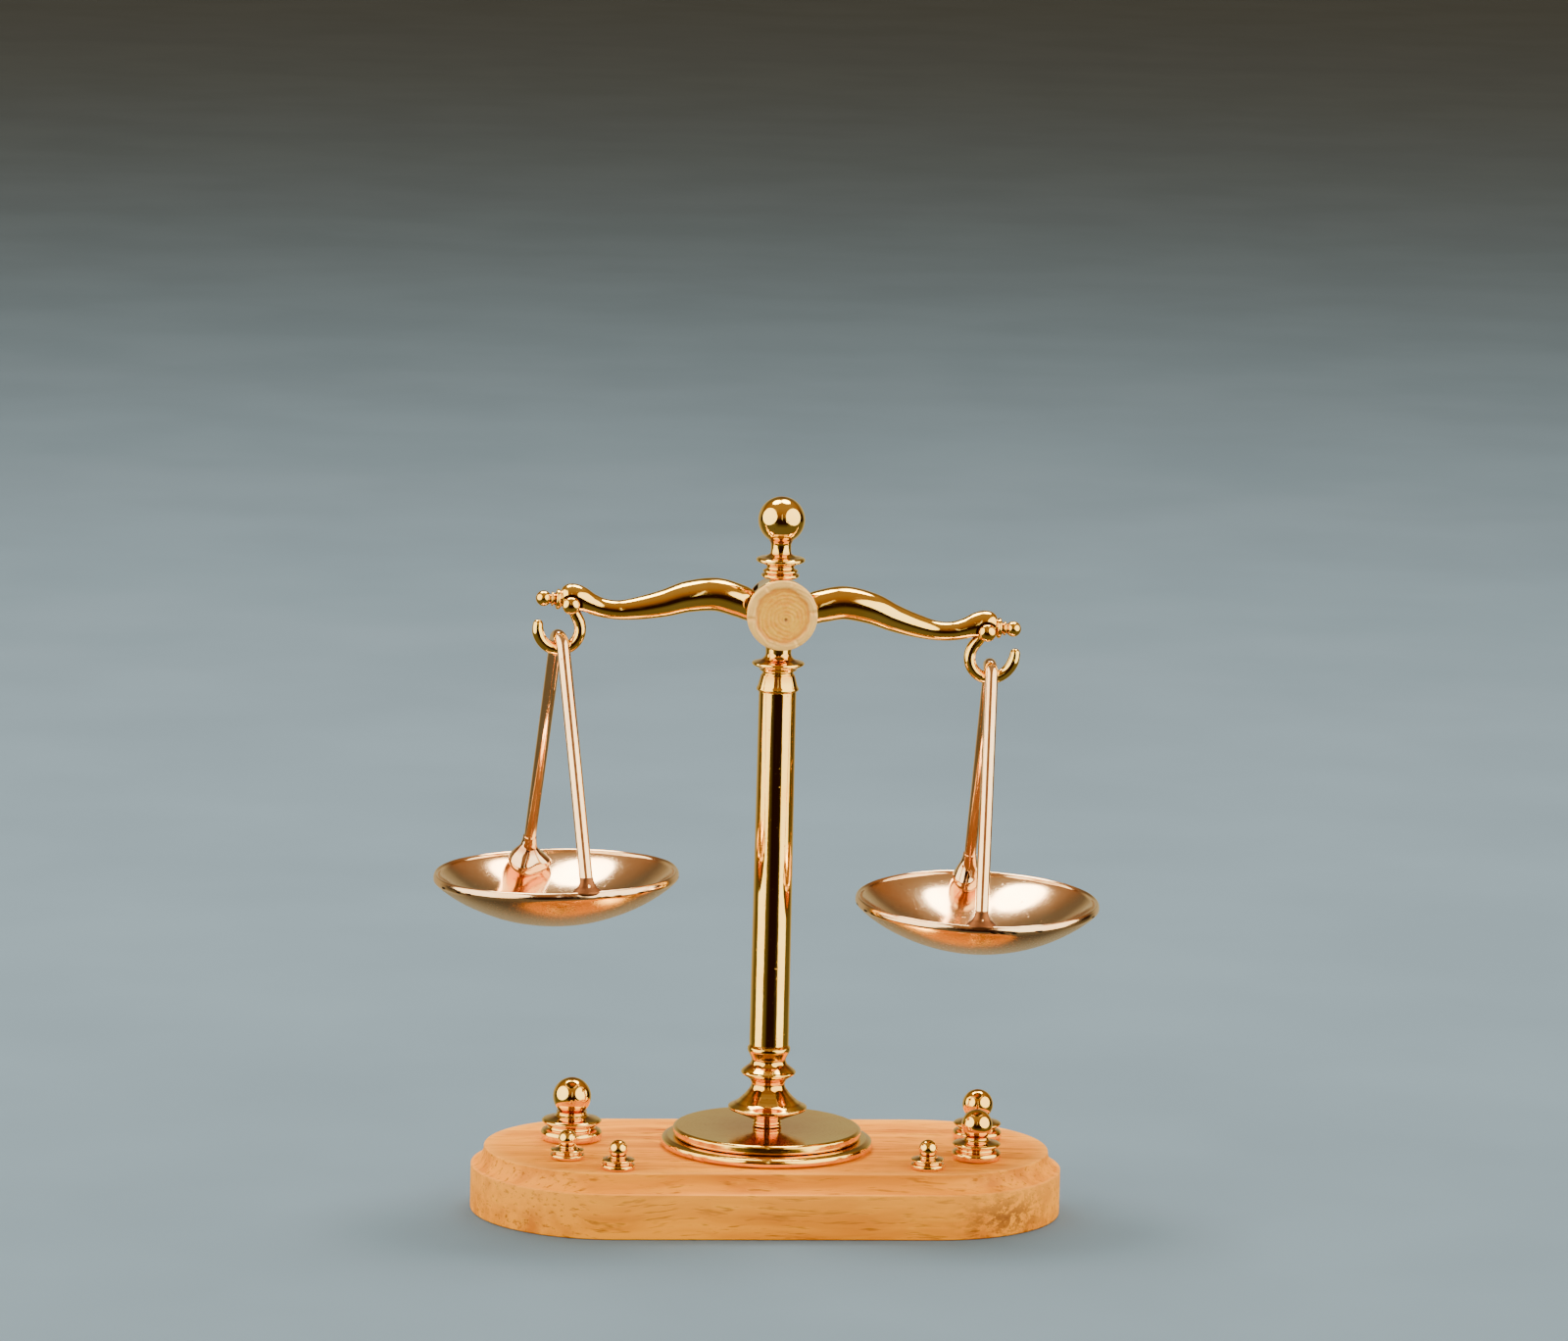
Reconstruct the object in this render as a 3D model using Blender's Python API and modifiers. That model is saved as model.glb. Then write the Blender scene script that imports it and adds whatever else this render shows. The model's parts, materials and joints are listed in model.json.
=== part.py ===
"""Miniature brass balance on a wooden stand, as separate pieces with real joints.

Frame: +Z up, +X to the right, the front faces -Y. The origin is the middle of the
board's underside. Sizes below are in millimetres and angles in degrees.
The rest pose has the beam a little down at its +X end, with both pans hanging.
"""
import math

import bmesh
import bpy
from mathutils import Matrix, Vector

MM = 0.001

# Clearances
SEAT_GAP = 0.05          # between pieces that stand on or against each other
BORE_GAP = 0.05          # all round a fixed rod in its bore
RUNNING_GAP = 0.08       # all round a pin or wire that turns
SIDE_GAP = 0.12          # each side of a piece that swings between two cheeks
CUT_MARGIN = 1.0         # how far a cutter runs on past what it cuts

# Board
BOARD_LENGTH = 50.0
BOARD_WIDTH = 23.1
BOARD_HEIGHT = 5.4
COVE_HEIGHT = 1.6
COVE_DEPTH = 1.1

# Rod that ties the stand together, with its washer and nut in the underside
ROD_RADIUS = 0.6
WASHER_RADIUS = 2.0
WASHER_HEIGHT = 0.3
NUT_ACROSS_CORNERS = 3.3
NUT_HEIGHT = 0.9
COUNTERBORE_RADIUS = 2.4
COUNTERBORE_DEPTH = 1.6
ROD_END_INSET = 0.15

# Foot discs
PLATE_RADIUS = 8.95
PLATE_HEIGHT = 0.85
DISC_RADIUS = 7.95
DISC_HEIGHT = 0.8

# Turned column foot
FOOT_HEIGHT = 6.95
BELL_RADIUS = 3.33
FOOT_RING_RADIUS = 2.34
FOOT_NECK_RADIUS = 1.5
SPINDLE_RADIUS = 1.2
SPIGOT_LENGTH = 2.0

# Tube
TUBE_LENGTH = 30.2
TUBE_BOTTOM_RADIUS = 1.67
TUBE_TOP_RADIUS = 1.57
TUBE_BORE_RADIUS = 1.15

# Turned capital under the drum
CAPITAL_HEIGHT = 3.95
CAPITAL_FLANGE_RADIUS = 2.22
CAPITAL_NECK_RADIUS = 1.1

# Drum that holds the beam's pivot
DRUM_RADIUS = 2.95
DRUM_DEPTH = 4.6
DRUM_FLAT = 2.75         # from the pivot up to the top flat and down to the bottom one
SLOT_TOP = 2.1           # the beam's slot, above and below the pivot
SLOT_BOTTOM = 1.45
ROD_BITE = 1.0           # how far the rod enters the drum
FRONT_CAP_HEIGHT = 0.6
FRONT_CAP_RECESS = 0.15
FRONT_CAP_LIP = 0.4
REAR_CAP_RADIUS = 2.6
REAR_CAP_HEIGHT = 0.45
PIN_RADIUS = 0.4
PIN_BITE = 0.3           # how far the pin enters each cap

# Finial
FINIAL_HEIGHT = 6.85
BALL_RADIUS = 1.96
FINIAL_FLANGE_RADIUS = 2.05
FINIAL_RING_RADIUS = 1.6
FINIAL_SPIGOT_RADIUS = 0.45
FINIAL_SPIGOT_LENGTH = 0.5

# Beam, at level, measured from its pivot
REST_TILT = 3.2
LEVEL_ROCK = 6.0
EYE_X = 17.5
EYE_DROP = 0.6
BOSS_RADIUS = 1.2
BOSS_WIDTH = 2.8
ARM_HUB_RADIUS = 1.3
LUG_RADIUS = 1.2
LUG_WIDTH = 2.0
LUG_SEAT_DEPTH = 0.2     # the flat for the tip is cut this far into the lug
LUG_RISE = 0.45          # the lug's centre above the eye
HUMP_HEIGHT = 1.03       # the arm's centreline at its highest
HUMP_RADIUS = 1.4
WAIST_DEPTH = 0.8        # the arm's centreline at its lowest
WAIST_RADIUS = 0.78
TIP_LENGTH = 1.9
TIP_FLANGE_RADIUS = 0.85
TIP_RISE = 0.12          # the tip's axis above the eye
EYE_PIN_RADIUS = 0.28
EYE_PIN_HEAD_RADIUS = 0.65
EYE_PIN_HEAD_HEIGHT = 0.35

# Hooks
HOOK_RADIUS = 1.75       # of the wire's centreline
HOOK_WIRE_RADIUS = 0.5
HOOK_EYE_RADIUS = 0.66
HOOK_EYE_FLATTENING = 0.2   # the eye is this much thinner than the wire
HOOK_REACH = 0.5         # the hook's centre outboard of the eye
HOOK_DROP = 2.2          # and below it
HOOK_TIP_ANGLE = 28.0    # how far past level the open end rises

# Bails and pans
BAIL_WIRE_RADIUS = 0.56
BAIL_DROP = 19.25        # from the hook's lowest wire to the middle of the rim
PAN_RADIUS = 10.3
PAN_DEPTH = 4.0
PAN_WALL = 0.5
RIM_ROLL_RADIUS = 0.5
FOOT_CLEARANCE = 0.15    # a bail's front foot ends this far above the rolled edge
FRONT_FOOT_INSET = 0.75  # from the pan's edge in to a bail's front foot
REAR_FOOT_INSET = {"left": 2.2, "right": 1.8}
REAR_FOOT_SINK = {"left": 0.9, "right": 0.45}   # how much lower the rear foot ends
REAR_LUG_RADIUS = 1.45
REAR_LUG_HEIGHT = 3.1
FRONT_LUG_RADIUS = 0.9
FRONT_LUG_HEIGHT = 1.3
LUG_SOCKET_DEPTH = 0.8

# How each side hangs at rest, in degrees, and how far its bail is soldered off centre
HOOK_LEAN = {"left": 11.0, "right": 2.0}
BAIL_LEAN = {"left": -0.45, "right": 1.5}
BAIL_YAW = {"left": 13.2, "right": -3.0}
BAIL_SHIFT = {"left": -0.2, "right": -0.3}
PAN_ROLL = {"left": -1.8, "right": 0.5}
PAN_PITCH = {"left": 0.0, "right": 2.5}
SIDE = {"left": -1.0, "right": 1.0}

# Weights: (height, ball radius, flange radius), and where they stand: which end of the board,
# how far in from that end and how far back from its front edge
LARGE_WEIGHT = (5.3, 1.62, 2.6)
MEDIUM_WEIGHT = (4.2, 1.3, 2.08)
SMALL_WEIGHT = (2.4, 0.78, 1.45)
WEIGHTS = {
    "weight_large": (LARGE_WEIGHT, "left", 8.6, 13.95),
    "weight_medium_front": (MEDIUM_WEIGHT, "right", 7.7, 6.95),
    "weight_medium_rear": (MEDIUM_WEIGHT, "right", 6.7, 14.85),
    "weight_small_left": (SMALL_WEIGHT, "left", 7.8, 6.75),
    "weight_small_middle": (SMALL_WEIGHT, "left", 11.8, 2.95),
    "weight_small_right": (SMALL_WEIGHT, "right", 12.2, 3.35),
}

# Heights of the stack, each piece standing on the one below
PLATE_BASE = BOARD_HEIGHT + SEAT_GAP
DISC_BASE = PLATE_BASE + PLATE_HEIGHT + SEAT_GAP
FOOT_BASE = DISC_BASE + DISC_HEIGHT + SEAT_GAP
TUBE_BASE = FOOT_BASE + FOOT_HEIGHT + SEAT_GAP
CAPITAL_BASE = TUBE_BASE + TUBE_LENGTH + SEAT_GAP
DRUM_BASE = CAPITAL_BASE + CAPITAL_HEIGHT + SEAT_GAP
PIVOT_HEIGHT = DRUM_BASE + DRUM_FLAT
FINIAL_BASE = PIVOT_HEIGHT + DRUM_FLAT + SEAT_GAP

ROD_BORE = ROD_RADIUS + BORE_GAP
PIN_BORE = PIN_RADIUS + BORE_GAP
EYE_PIN_BORE = EYE_PIN_RADIUS + BORE_GAP
HOOK_EYE_WIDTH = 2.0 * HOOK_WIRE_RADIUS - HOOK_EYE_FLATTENING
LUG_SLOT_WIDTH = HOOK_EYE_WIDTH + 2.0 * SIDE_GAP
LUG_SLOT_RADIUS = HOOK_EYE_RADIUS + SIDE_GAP

MATERIALS = {
    "gold_brass": ((0.83, 0.57, 0.19), 1.0, 0.14),
    "matte_brass": ((0.86, 0.68, 0.38), 1.0, 0.45),
    "rose_brass": ((0.80, 0.47, 0.29), 1.0, 0.20),
    "pale_wood": ((0.72, 0.45, 0.20), 0.0, 0.50),
    "steel": ((0.55, 0.55, 0.56), 1.0, 0.35),
}


def clear_scene():
    """Remove every object and start two collections, for the parts and the cutters."""
    for old in list(bpy.data.objects):
        bpy.data.objects.remove(old, do_unlink=True)
    for title in ("brass_weighing_scale", "cutters"):
        if title not in bpy.data.collections:
            fresh = bpy.data.collections.new(title)
            bpy.context.scene.collection.children.link(fresh)


def finish(obj, name, material=None):
    """Name an object, put it in its collection and give it its material."""
    obj.name = name
    obj.data.name = name
    for home in list(obj.users_collection):
        home.objects.unlink(obj)
    if material is None:
        bpy.data.collections["cutters"].objects.link(obj)
        obj.hide_render = True
        obj.display_type = "WIRE"
        return obj
    bpy.data.collections["brass_weighing_scale"].objects.link(obj)
    obj.data.materials.clear()
    obj.data.materials.append(get_material(material))
    obj.data.shade_smooth()
    obj.data.set_sharp_from_angle(angle=math.radians(40.0))
    return obj


def get_material(name):
    """A plain Principled material for one finish."""
    if name in bpy.data.materials:
        return bpy.data.materials[name]
    colour, metallic, roughness = MATERIALS[name]
    made = bpy.data.materials.new(name)
    made.use_nodes = True
    shader = made.node_tree.nodes["Principled BSDF"]
    shader.inputs["Base Color"].default_value = (*colour, 1.0)
    shader.inputs["Metallic"].default_value = metallic
    shader.inputs["Roughness"].default_value = roughness
    return made


def arc(centre_r, centre_z, radius, start, end, count):
    """Points on a circle from one angle to another, angles counted from +r towards +z."""
    points = []
    for step in range(count + 1):
        angle = math.radians(start + (end - start) * step / count)
        points.append((centre_r + radius * math.cos(angle), centre_z + radius * math.sin(angle)))
    return points


def smooth(points, per_span):
    """A curve through every point, as Catmull-Rom spans; a point may hold any number of values."""
    vectors = [Vector(p) for p in points]
    padded = [2 * vectors[0] - vectors[1]] + vectors + [2 * vectors[-1] - vectors[-2]]
    result = []
    for index in range(1, len(padded) - 2):
        before, start, end, after = padded[index - 1:index + 3]
        for step in range(per_span):
            t = step / per_span
            result.append(0.5 * ((2 * start) + (end - before) * t
                                 + (2 * before - 5 * start + 4 * end - after) * t ** 2
                                 + (3 * start - before - 3 * end + after) * t ** 3))
    result.append(vectors[-1])
    return result


def profile_object(points, closed=False):
    """An object that holds a line of vertices at (r, 0, z), ready to be turned."""
    mesh = bpy.data.meshes.new("profile")
    vertices = [(r * MM, 0.0, z * MM) for r, z in points]
    edges = [(i, i + 1) for i in range(len(points) - 1)]
    if closed:
        edges.append((len(points) - 1, 0))
    mesh.from_pydata(vertices, edges, [])
    obj = bpy.data.objects.new("profile", mesh)
    bpy.context.scene.collection.objects.link(obj)
    return obj


def turned(name, points, material=None, steps=16, closed=False):
    """A piece turned about its own Z axis; the profile runs down its outer side."""
    obj = profile_object(points, closed)
    screw = obj.modifiers.new("turn", "SCREW")
    screw.steps = steps
    screw.render_steps = steps
    screw.use_merge_vertices = True
    screw.merge_threshold = 0.000001
    return finish(obj, name, material)


def cylinder(name, radius, depth, location, along="Z", sides=20, material=None):
    """A cylinder centred on a place, lying along one axis."""
    turn = {"X": (0.0, math.pi / 2, 0.0), "Y": (math.pi / 2, 0.0, 0.0), "Z": (0.0, 0.0, 0.0)}[along]
    bpy.ops.mesh.primitive_cylinder_add(vertices=sides, radius=radius * MM, depth=depth * MM,
                                        location=[v * MM for v in location], rotation=turn)
    return finish(bpy.context.object, name, material)


def box(name, low, high):
    """A cutter box between two corners."""
    middle = [(a + b) / 2 * MM for a, b in zip(low, high)]
    size = [(b - a) * MM for a, b in zip(low, high)]
    bpy.ops.mesh.primitive_cube_add(size=1.0, location=middle)
    made = bpy.context.object
    for vertex in made.data.vertices:
        vertex.co = Vector((vertex.co.x * size[0], vertex.co.y * size[1], vertex.co.z * size[2]))
    return finish(made, name)


def wire(name, points, radii, material, resolution=2):
    """A round wire along points, as one closed mesh; a radius for each point."""
    curve = bpy.data.curves.new(name, "CURVE")
    curve.dimensions = "3D"
    curve.bevel_depth = MM
    curve.bevel_resolution = resolution
    curve.use_fill_caps = True
    spline = curve.splines.new("POLY")
    spline.points.add(len(points) - 1)
    for target, point, radius in zip(spline.points, points, radii):
        target.co = (*(Vector(point) * MM), 1.0)
        target.radius = radius
    guide = bpy.data.objects.new(name, curve)
    bpy.context.scene.collection.objects.link(guide)
    mesh = bpy.data.meshes.new_from_object(guide.evaluated_get(bpy.context.evaluated_depsgraph_get()))
    obj = bpy.data.objects.new(name, mesh)
    obj.matrix_world = guide.matrix_world
    bpy.context.scene.collection.objects.link(obj)
    bpy.data.objects.remove(guide, do_unlink=True)
    bpy.data.curves.remove(curve)
    shell = bmesh.new()
    shell.from_mesh(mesh)
    bmesh.ops.remove_doubles(shell, verts=shell.verts, dist=0.000001)
    shell.to_mesh(mesh)
    shell.free()
    return finish(obj, name, material)


def combine(obj, other, operation="DIFFERENCE"):
    """Cut one object with another, or join it on."""
    cut = obj.modifiers.new(other.name, "BOOLEAN")
    cut.operation = operation
    cut.solver = "EXACT"
    cut.object = other
    return obj


def settle(pieces, place, rotation):
    """Turn pieces, built round their own origin, and move them to their place."""
    for piece in pieces:
        piece.matrix_world = Matrix.Translation(Vector(place) * MM) @ rotation.to_4x4() @ piece.matrix_world


def hang(pieces, name, place):
    """Parent settled pieces to an empty on their joint's axis, where they already are."""
    axis = bpy.data.objects.new(f"{name}_axis", None)
    axis.location = Vector(place) * MM
    axis.empty_display_size = MM
    bpy.data.collections["brass_weighing_scale"].objects.link(axis)
    bpy.context.view_layer.update()
    for piece in pieces:
        piece.parent = axis
        piece.matrix_parent_inverse = axis.matrix_world.inverted()


def about(axis, degrees):
    """A rotation matrix about one axis."""
    return Matrix.Rotation(math.radians(degrees), 3, axis)


# --------------------------------------------------------------------------- stand

def make_board():
    """The board: a turned disc with a coved edge, its two halves drawn apart."""
    steps = 40
    radius = BOARD_WIDTH / 2 / math.cos(math.pi / steps)
    points = [(0.0, BOARD_HEIGHT)]
    for angle in range(0, 91, 18):
        turn = math.radians(angle)
        points.append((radius - COVE_DEPTH * math.cos(turn),
                       BOARD_HEIGHT - COVE_HEIGHT * math.sin(turn)))
    points += [(radius, 0.0), (0.0, 0.0)]
    disc = turned("disc", points, "pale_wood", steps)
    bpy.context.view_layer.update()
    mesh = bpy.data.meshes.new_from_object(disc.evaluated_get(bpy.context.evaluated_depsgraph_get()))
    bpy.data.objects.remove(disc, do_unlink=True)
    mesh.transform(Matrix.Rotation(math.pi / steps, 4, "Z"))
    half_straight = (BOARD_LENGTH - BOARD_WIDTH) / 2 * MM
    for vertex in mesh.vertices:
        if abs(vertex.co.x) > 0.01 * MM:
            vertex.co.x += math.copysign(half_straight, vertex.co.x)
    board = bpy.data.objects.new("wood_base", mesh)
    finish(board, "wood_base", "pale_wood")
    bore = turned("board_bore", [(0.0, BOARD_HEIGHT + CUT_MARGIN),
                                 (ROD_BORE, BOARD_HEIGHT + CUT_MARGIN), (ROD_BORE, COUNTERBORE_DEPTH),
                                 (COUNTERBORE_RADIUS, COUNTERBORE_DEPTH),
                                 (COUNTERBORE_RADIUS, -CUT_MARGIN), (0.0, -CUT_MARGIN)])
    combine(board, bore)


def make_tie_rod():
    """The rod up through the stand, with its washer and nut in the counterbore."""
    washer_top = COUNTERBORE_DEPTH - SEAT_GAP
    washer_base = washer_top - WASHER_HEIGHT
    turned("base_washer", [(WASHER_RADIUS, washer_top), (WASHER_RADIUS, washer_base),
                           (ROD_BORE, washer_base), (ROD_BORE, washer_top)], "steel", closed=True)
    nut_top = washer_base - SEAT_GAP
    nut = cylinder("base_nut", NUT_ACROSS_CORNERS / 2, NUT_HEIGHT,
                   (0.0, 0.0, nut_top - NUT_HEIGHT / 2), sides=6, material="steel")
    combine(nut, cylinder("nut_bore", ROD_BORE, NUT_HEIGHT + CUT_MARGIN,
                          (0.0, 0.0, nut_top - NUT_HEIGHT / 2), sides=16))
    rod_base = ROD_END_INSET
    rod_top = DRUM_BASE + ROD_BITE
    cylinder("tie_rod", ROD_RADIUS, rod_top - rod_base, (0.0, 0.0, (rod_base + rod_top) / 2),
             sides=16, material="steel")


def make_foot_discs():
    """The two stacked discs that carry the column."""
    rounding = PLATE_HEIGHT / 2
    edge = arc(PLATE_RADIUS - rounding, PLATE_BASE + rounding, rounding, 90.0, -90.0, 6)
    turned("foot_plate", edge + [(ROD_BORE, PLATE_BASE), (ROD_BORE, PLATE_BASE + PLATE_HEIGHT)],
           "gold_brass", 32, closed=True)
    top = DISC_BASE + DISC_HEIGHT
    chamfer = 0.12
    turned("foot_disc", [(DISC_RADIUS - chamfer, top), (DISC_RADIUS, top - chamfer),
                         (DISC_RADIUS, DISC_BASE + chamfer), (DISC_RADIUS - chamfer, DISC_BASE),
                         (ROD_BORE, DISC_BASE), (ROD_BORE, top)],
           "gold_brass", 32, closed=True)


def make_column_foot():
    """The turned foot: a spindle, a bell with a thin lip, a neck, and two rings."""
    base = FOOT_BASE
    top = base + FOOT_HEIGHT
    spigot_radius = TUBE_BORE_RADIUS - BORE_GAP
    outer = [
        (TUBE_BOTTOM_RADIUS, top),
        (TUBE_BOTTOM_RADIUS + 0.12, top - 0.15),
        (TUBE_BOTTOM_RADIUS + 0.14, top - 0.38),
        (FOOT_NECK_RADIUS + 0.1, top - 0.75),
        (FOOT_NECK_RADIUS, top - 1.05),
        (FOOT_NECK_RADIUS + 0.2, top - 1.5),
        (FOOT_RING_RADIUS - 0.12, top - 1.92),
        (FOOT_RING_RADIUS, top - 2.08),
        (FOOT_RING_RADIUS - 0.14, top - 2.25),
        (FOOT_NECK_RADIUS + 0.1, top - 2.75),
        (FOOT_NECK_RADIUS - 0.03, top - 3.15),
        (FOOT_NECK_RADIUS + 0.12, top - 3.5),
        (0.64 * BELL_RADIUS, top - 4.1),
        (0.83 * BELL_RADIUS, top - 4.72),
        (BELL_RADIUS, top - 5.15),
        (BELL_RADIUS - 0.02, top - 5.28),
        (0.72 * BELL_RADIUS, top - 5.6),
        (SPINDLE_RADIUS + 0.2, top - 5.95),
        (SPINDLE_RADIUS, top - 6.2),
        (SPINDLE_RADIUS + 0.3, top - 6.48),
        (SPINDLE_RADIUS + 0.3, base + 0.12),
        (SPINDLE_RADIUS + 0.15, base),
    ]
    spigot = [(ROD_BORE, base), (ROD_BORE, top + SPIGOT_LENGTH),
              (spigot_radius, top + SPIGOT_LENGTH), (spigot_radius, top)]
    turned("column_foot", outer + spigot, "gold_brass", closed=True)


def make_column_tube():
    """The plain tube, a little slimmer at its top."""
    top = TUBE_BASE + TUBE_LENGTH
    turned("column_tube", [(TUBE_TOP_RADIUS, top), (TUBE_BOTTOM_RADIUS, TUBE_BASE),
                           (TUBE_BORE_RADIUS, TUBE_BASE), (TUBE_BORE_RADIUS, top)],
           "gold_brass", closed=True)


def make_capital():
    """The turned capital: a collar, a groove, a flange and the neck under the drum."""
    base = CAPITAL_BASE
    top = base + CAPITAL_HEIGHT
    spigot_radius = TUBE_BORE_RADIUS - BORE_GAP
    outer = [
        (CAPITAL_NECK_RADIUS + 0.1, top),
        (CAPITAL_NECK_RADIUS, top - 0.3),
        (CAPITAL_NECK_RADIUS, top - 0.95),
        (CAPITAL_NECK_RADIUS + 0.25, top - 1.3),
        (CAPITAL_FLANGE_RADIUS - 0.1, top - 1.5),
        (CAPITAL_FLANGE_RADIUS, top - 1.65),
        (CAPITAL_FLANGE_RADIUS - 0.12, top - 1.8),
        (TUBE_TOP_RADIUS, top - 2.1),
        (TUBE_TOP_RADIUS - 0.26, top - 2.35),
        (TUBE_TOP_RADIUS - 0.14, top - 2.6),
        (TUBE_TOP_RADIUS + 0.08, base + 0.5),
        (TUBE_TOP_RADIUS + 0.22, base + 0.2),
        (TUBE_TOP_RADIUS + 0.2, base),
    ]
    spigot = [(spigot_radius, base), (spigot_radius, base - SPIGOT_LENGTH),
              (ROD_BORE, base - SPIGOT_LENGTH), (ROD_BORE, top)]
    turned("column_capital", outer + spigot, "gold_brass", closed=True)


# ----------------------------------------------------------------- drum and finial

def make_drum():
    """The drum: two cheeks that hold the pin, joined above and below the beam's slot."""
    drum = cylinder("pivot_drum", DRUM_RADIUS, DRUM_DEPTH, (0.0, 0.0, PIVOT_HEIGHT), "Y", 40,
                    "gold_brass")
    half_slot = BOSS_WIDTH / 2 + SIDE_GAP
    reach = DRUM_RADIUS + CUT_MARGIN
    combine(drum, box("beam_slot", (-reach, -half_slot, PIVOT_HEIGHT - SLOT_BOTTOM),
                      (reach, half_slot, PIVOT_HEIGHT + SLOT_TOP)))
    combine(drum, box("top_flat", (-reach, -reach, PIVOT_HEIGHT + DRUM_FLAT),
                      (reach, reach, PIVOT_HEIGHT + reach)))
    combine(drum, box("bottom_flat", (-reach, -reach, PIVOT_HEIGHT - reach),
                      (reach, reach, PIVOT_HEIGHT - DRUM_FLAT)))
    combine(drum, cylinder("pin_bore", PIN_BORE, DRUM_DEPTH + CUT_MARGIN, (0.0, 0.0, PIVOT_HEIGHT), "Y", 16))
    rod_hole = ROD_BITE + BORE_GAP
    combine(drum, cylinder("rod_hole", ROD_BORE, 2.0 * rod_hole, (0.0, 0.0, DRUM_BASE), sides=16))
    finial_hole = FINIAL_SPIGOT_LENGTH + BORE_GAP
    combine(drum, cylinder("finial_hole", FINIAL_SPIGOT_RADIUS + BORE_GAP, 2.0 * finial_hole,
                           (0.0, 0.0, PIVOT_HEIGHT + DRUM_FLAT), sides=16))


def make_caps_and_pin():
    """The pin through the drum, and the cap on each of its ends."""
    face = DRUM_DEPTH / 2 + SEAT_GAP
    pin_reach = face + PIN_BITE - BORE_GAP
    cylinder("pivot_pin", PIN_RADIUS, 2.0 * pin_reach, (0.0, 0.0, PIVOT_HEIGHT), "Y", 16, "steel")
    floor = FRONT_CAP_HEIGHT - FRONT_CAP_RECESS
    lip = DRUM_RADIUS - FRONT_CAP_LIP
    front = turned("front_cap", [
        (0.0, floor), (lip - 0.1, floor), (lip, FRONT_CAP_HEIGHT),
        (DRUM_RADIUS - 0.1, FRONT_CAP_HEIGHT), (DRUM_RADIUS, FRONT_CAP_HEIGHT - 0.1),
        (DRUM_RADIUS, 0.0), (PIN_BORE, 0.0), (PIN_BORE, PIN_BITE), (0.0, PIN_BITE),
    ], "matte_brass", 32)
    settle([front], (0.0, -face, PIVOT_HEIGHT), about("X", 90.0))
    rear = turned("rear_cap", [
        (0.0, REAR_CAP_HEIGHT), (0.6 * REAR_CAP_RADIUS, 0.9 * REAR_CAP_HEIGHT),
        (0.9 * REAR_CAP_RADIUS, 0.55 * REAR_CAP_HEIGHT), (REAR_CAP_RADIUS, 0.2 * REAR_CAP_HEIGHT),
        (REAR_CAP_RADIUS, 0.0), (PIN_BORE, 0.0), (PIN_BORE, PIN_BITE), (0.0, PIN_BITE),
    ], "gold_brass", 24)
    settle([rear], (0.0, face, PIVOT_HEIGHT), about("X", -90.0))


def make_finial():
    """The finial: a ring, a waist, a flange, a neck and a ball."""
    base = FINIAL_BASE
    ball_centre = base + FINIAL_HEIGHT - BALL_RADIUS
    ball = arc(0.0, ball_centre, BALL_RADIUS, 90.0, -60.0, 10)
    ball[0] = (0.0, base + FINIAL_HEIGHT)
    below = [
        (1.02, base + 2.5),
        (1.2, base + 2.15),
        (FINIAL_FLANGE_RADIUS - 0.35, base + 1.75),
        (FINIAL_FLANGE_RADIUS, base + 1.5),
        (FINIAL_FLANGE_RADIUS - 0.1, base + 1.3),
        (1.4, base + 1.05),
        (1.2, base + 0.8),
        (1.3, base + 0.55),
        (FINIAL_RING_RADIUS, base + 0.32),
        (FINIAL_RING_RADIUS - 0.1, base + 0.1),
        (FINIAL_RING_RADIUS - 0.35, base),
        (FINIAL_SPIGOT_RADIUS, base),
        (FINIAL_SPIGOT_RADIUS, base - SEAT_GAP - FINIAL_SPIGOT_LENGTH),
        (0.0, base - SEAT_GAP - FINIAL_SPIGOT_LENGTH),
    ]
    turned("finial", ball + below, "gold_brass")


# ------------------------------------------------------------------ beam and hooks

def arm_route():
    """The beam's centreline and radius at level, as (x, height, radius) from end to end."""
    half = [
        (0.13 * EYE_X, 0.25, ARM_HUB_RADIUS),
        (0.20 * EYE_X, 0.61 * HUMP_HEIGHT, HUMP_RADIUS - 0.02),
        (0.31 * EYE_X, HUMP_HEIGHT, HUMP_RADIUS),
        (0.44 * EYE_X, 0.68 * HUMP_HEIGHT, HUMP_RADIUS - 0.08),
        (0.55 * EYE_X, 0.02, HUMP_RADIUS - 0.25),
        (0.66 * EYE_X, -0.62 * WAIST_DEPTH, WAIST_RADIUS + 0.2),
        (0.76 * EYE_X, -WAIST_DEPTH, WAIST_RADIUS + 0.02),
        (0.86 * EYE_X, -0.82 * WAIST_DEPTH, WAIST_RADIUS),
        (0.96 * EYE_X, LUG_RISE - EYE_DROP, WAIST_RADIUS + 0.1),
    ]
    left = [(-x, z, r) for x, z, r in reversed(half)]
    return smooth(left + [(0.0, 0.12, ARM_HUB_RADIUS)] + half, 2)


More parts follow.
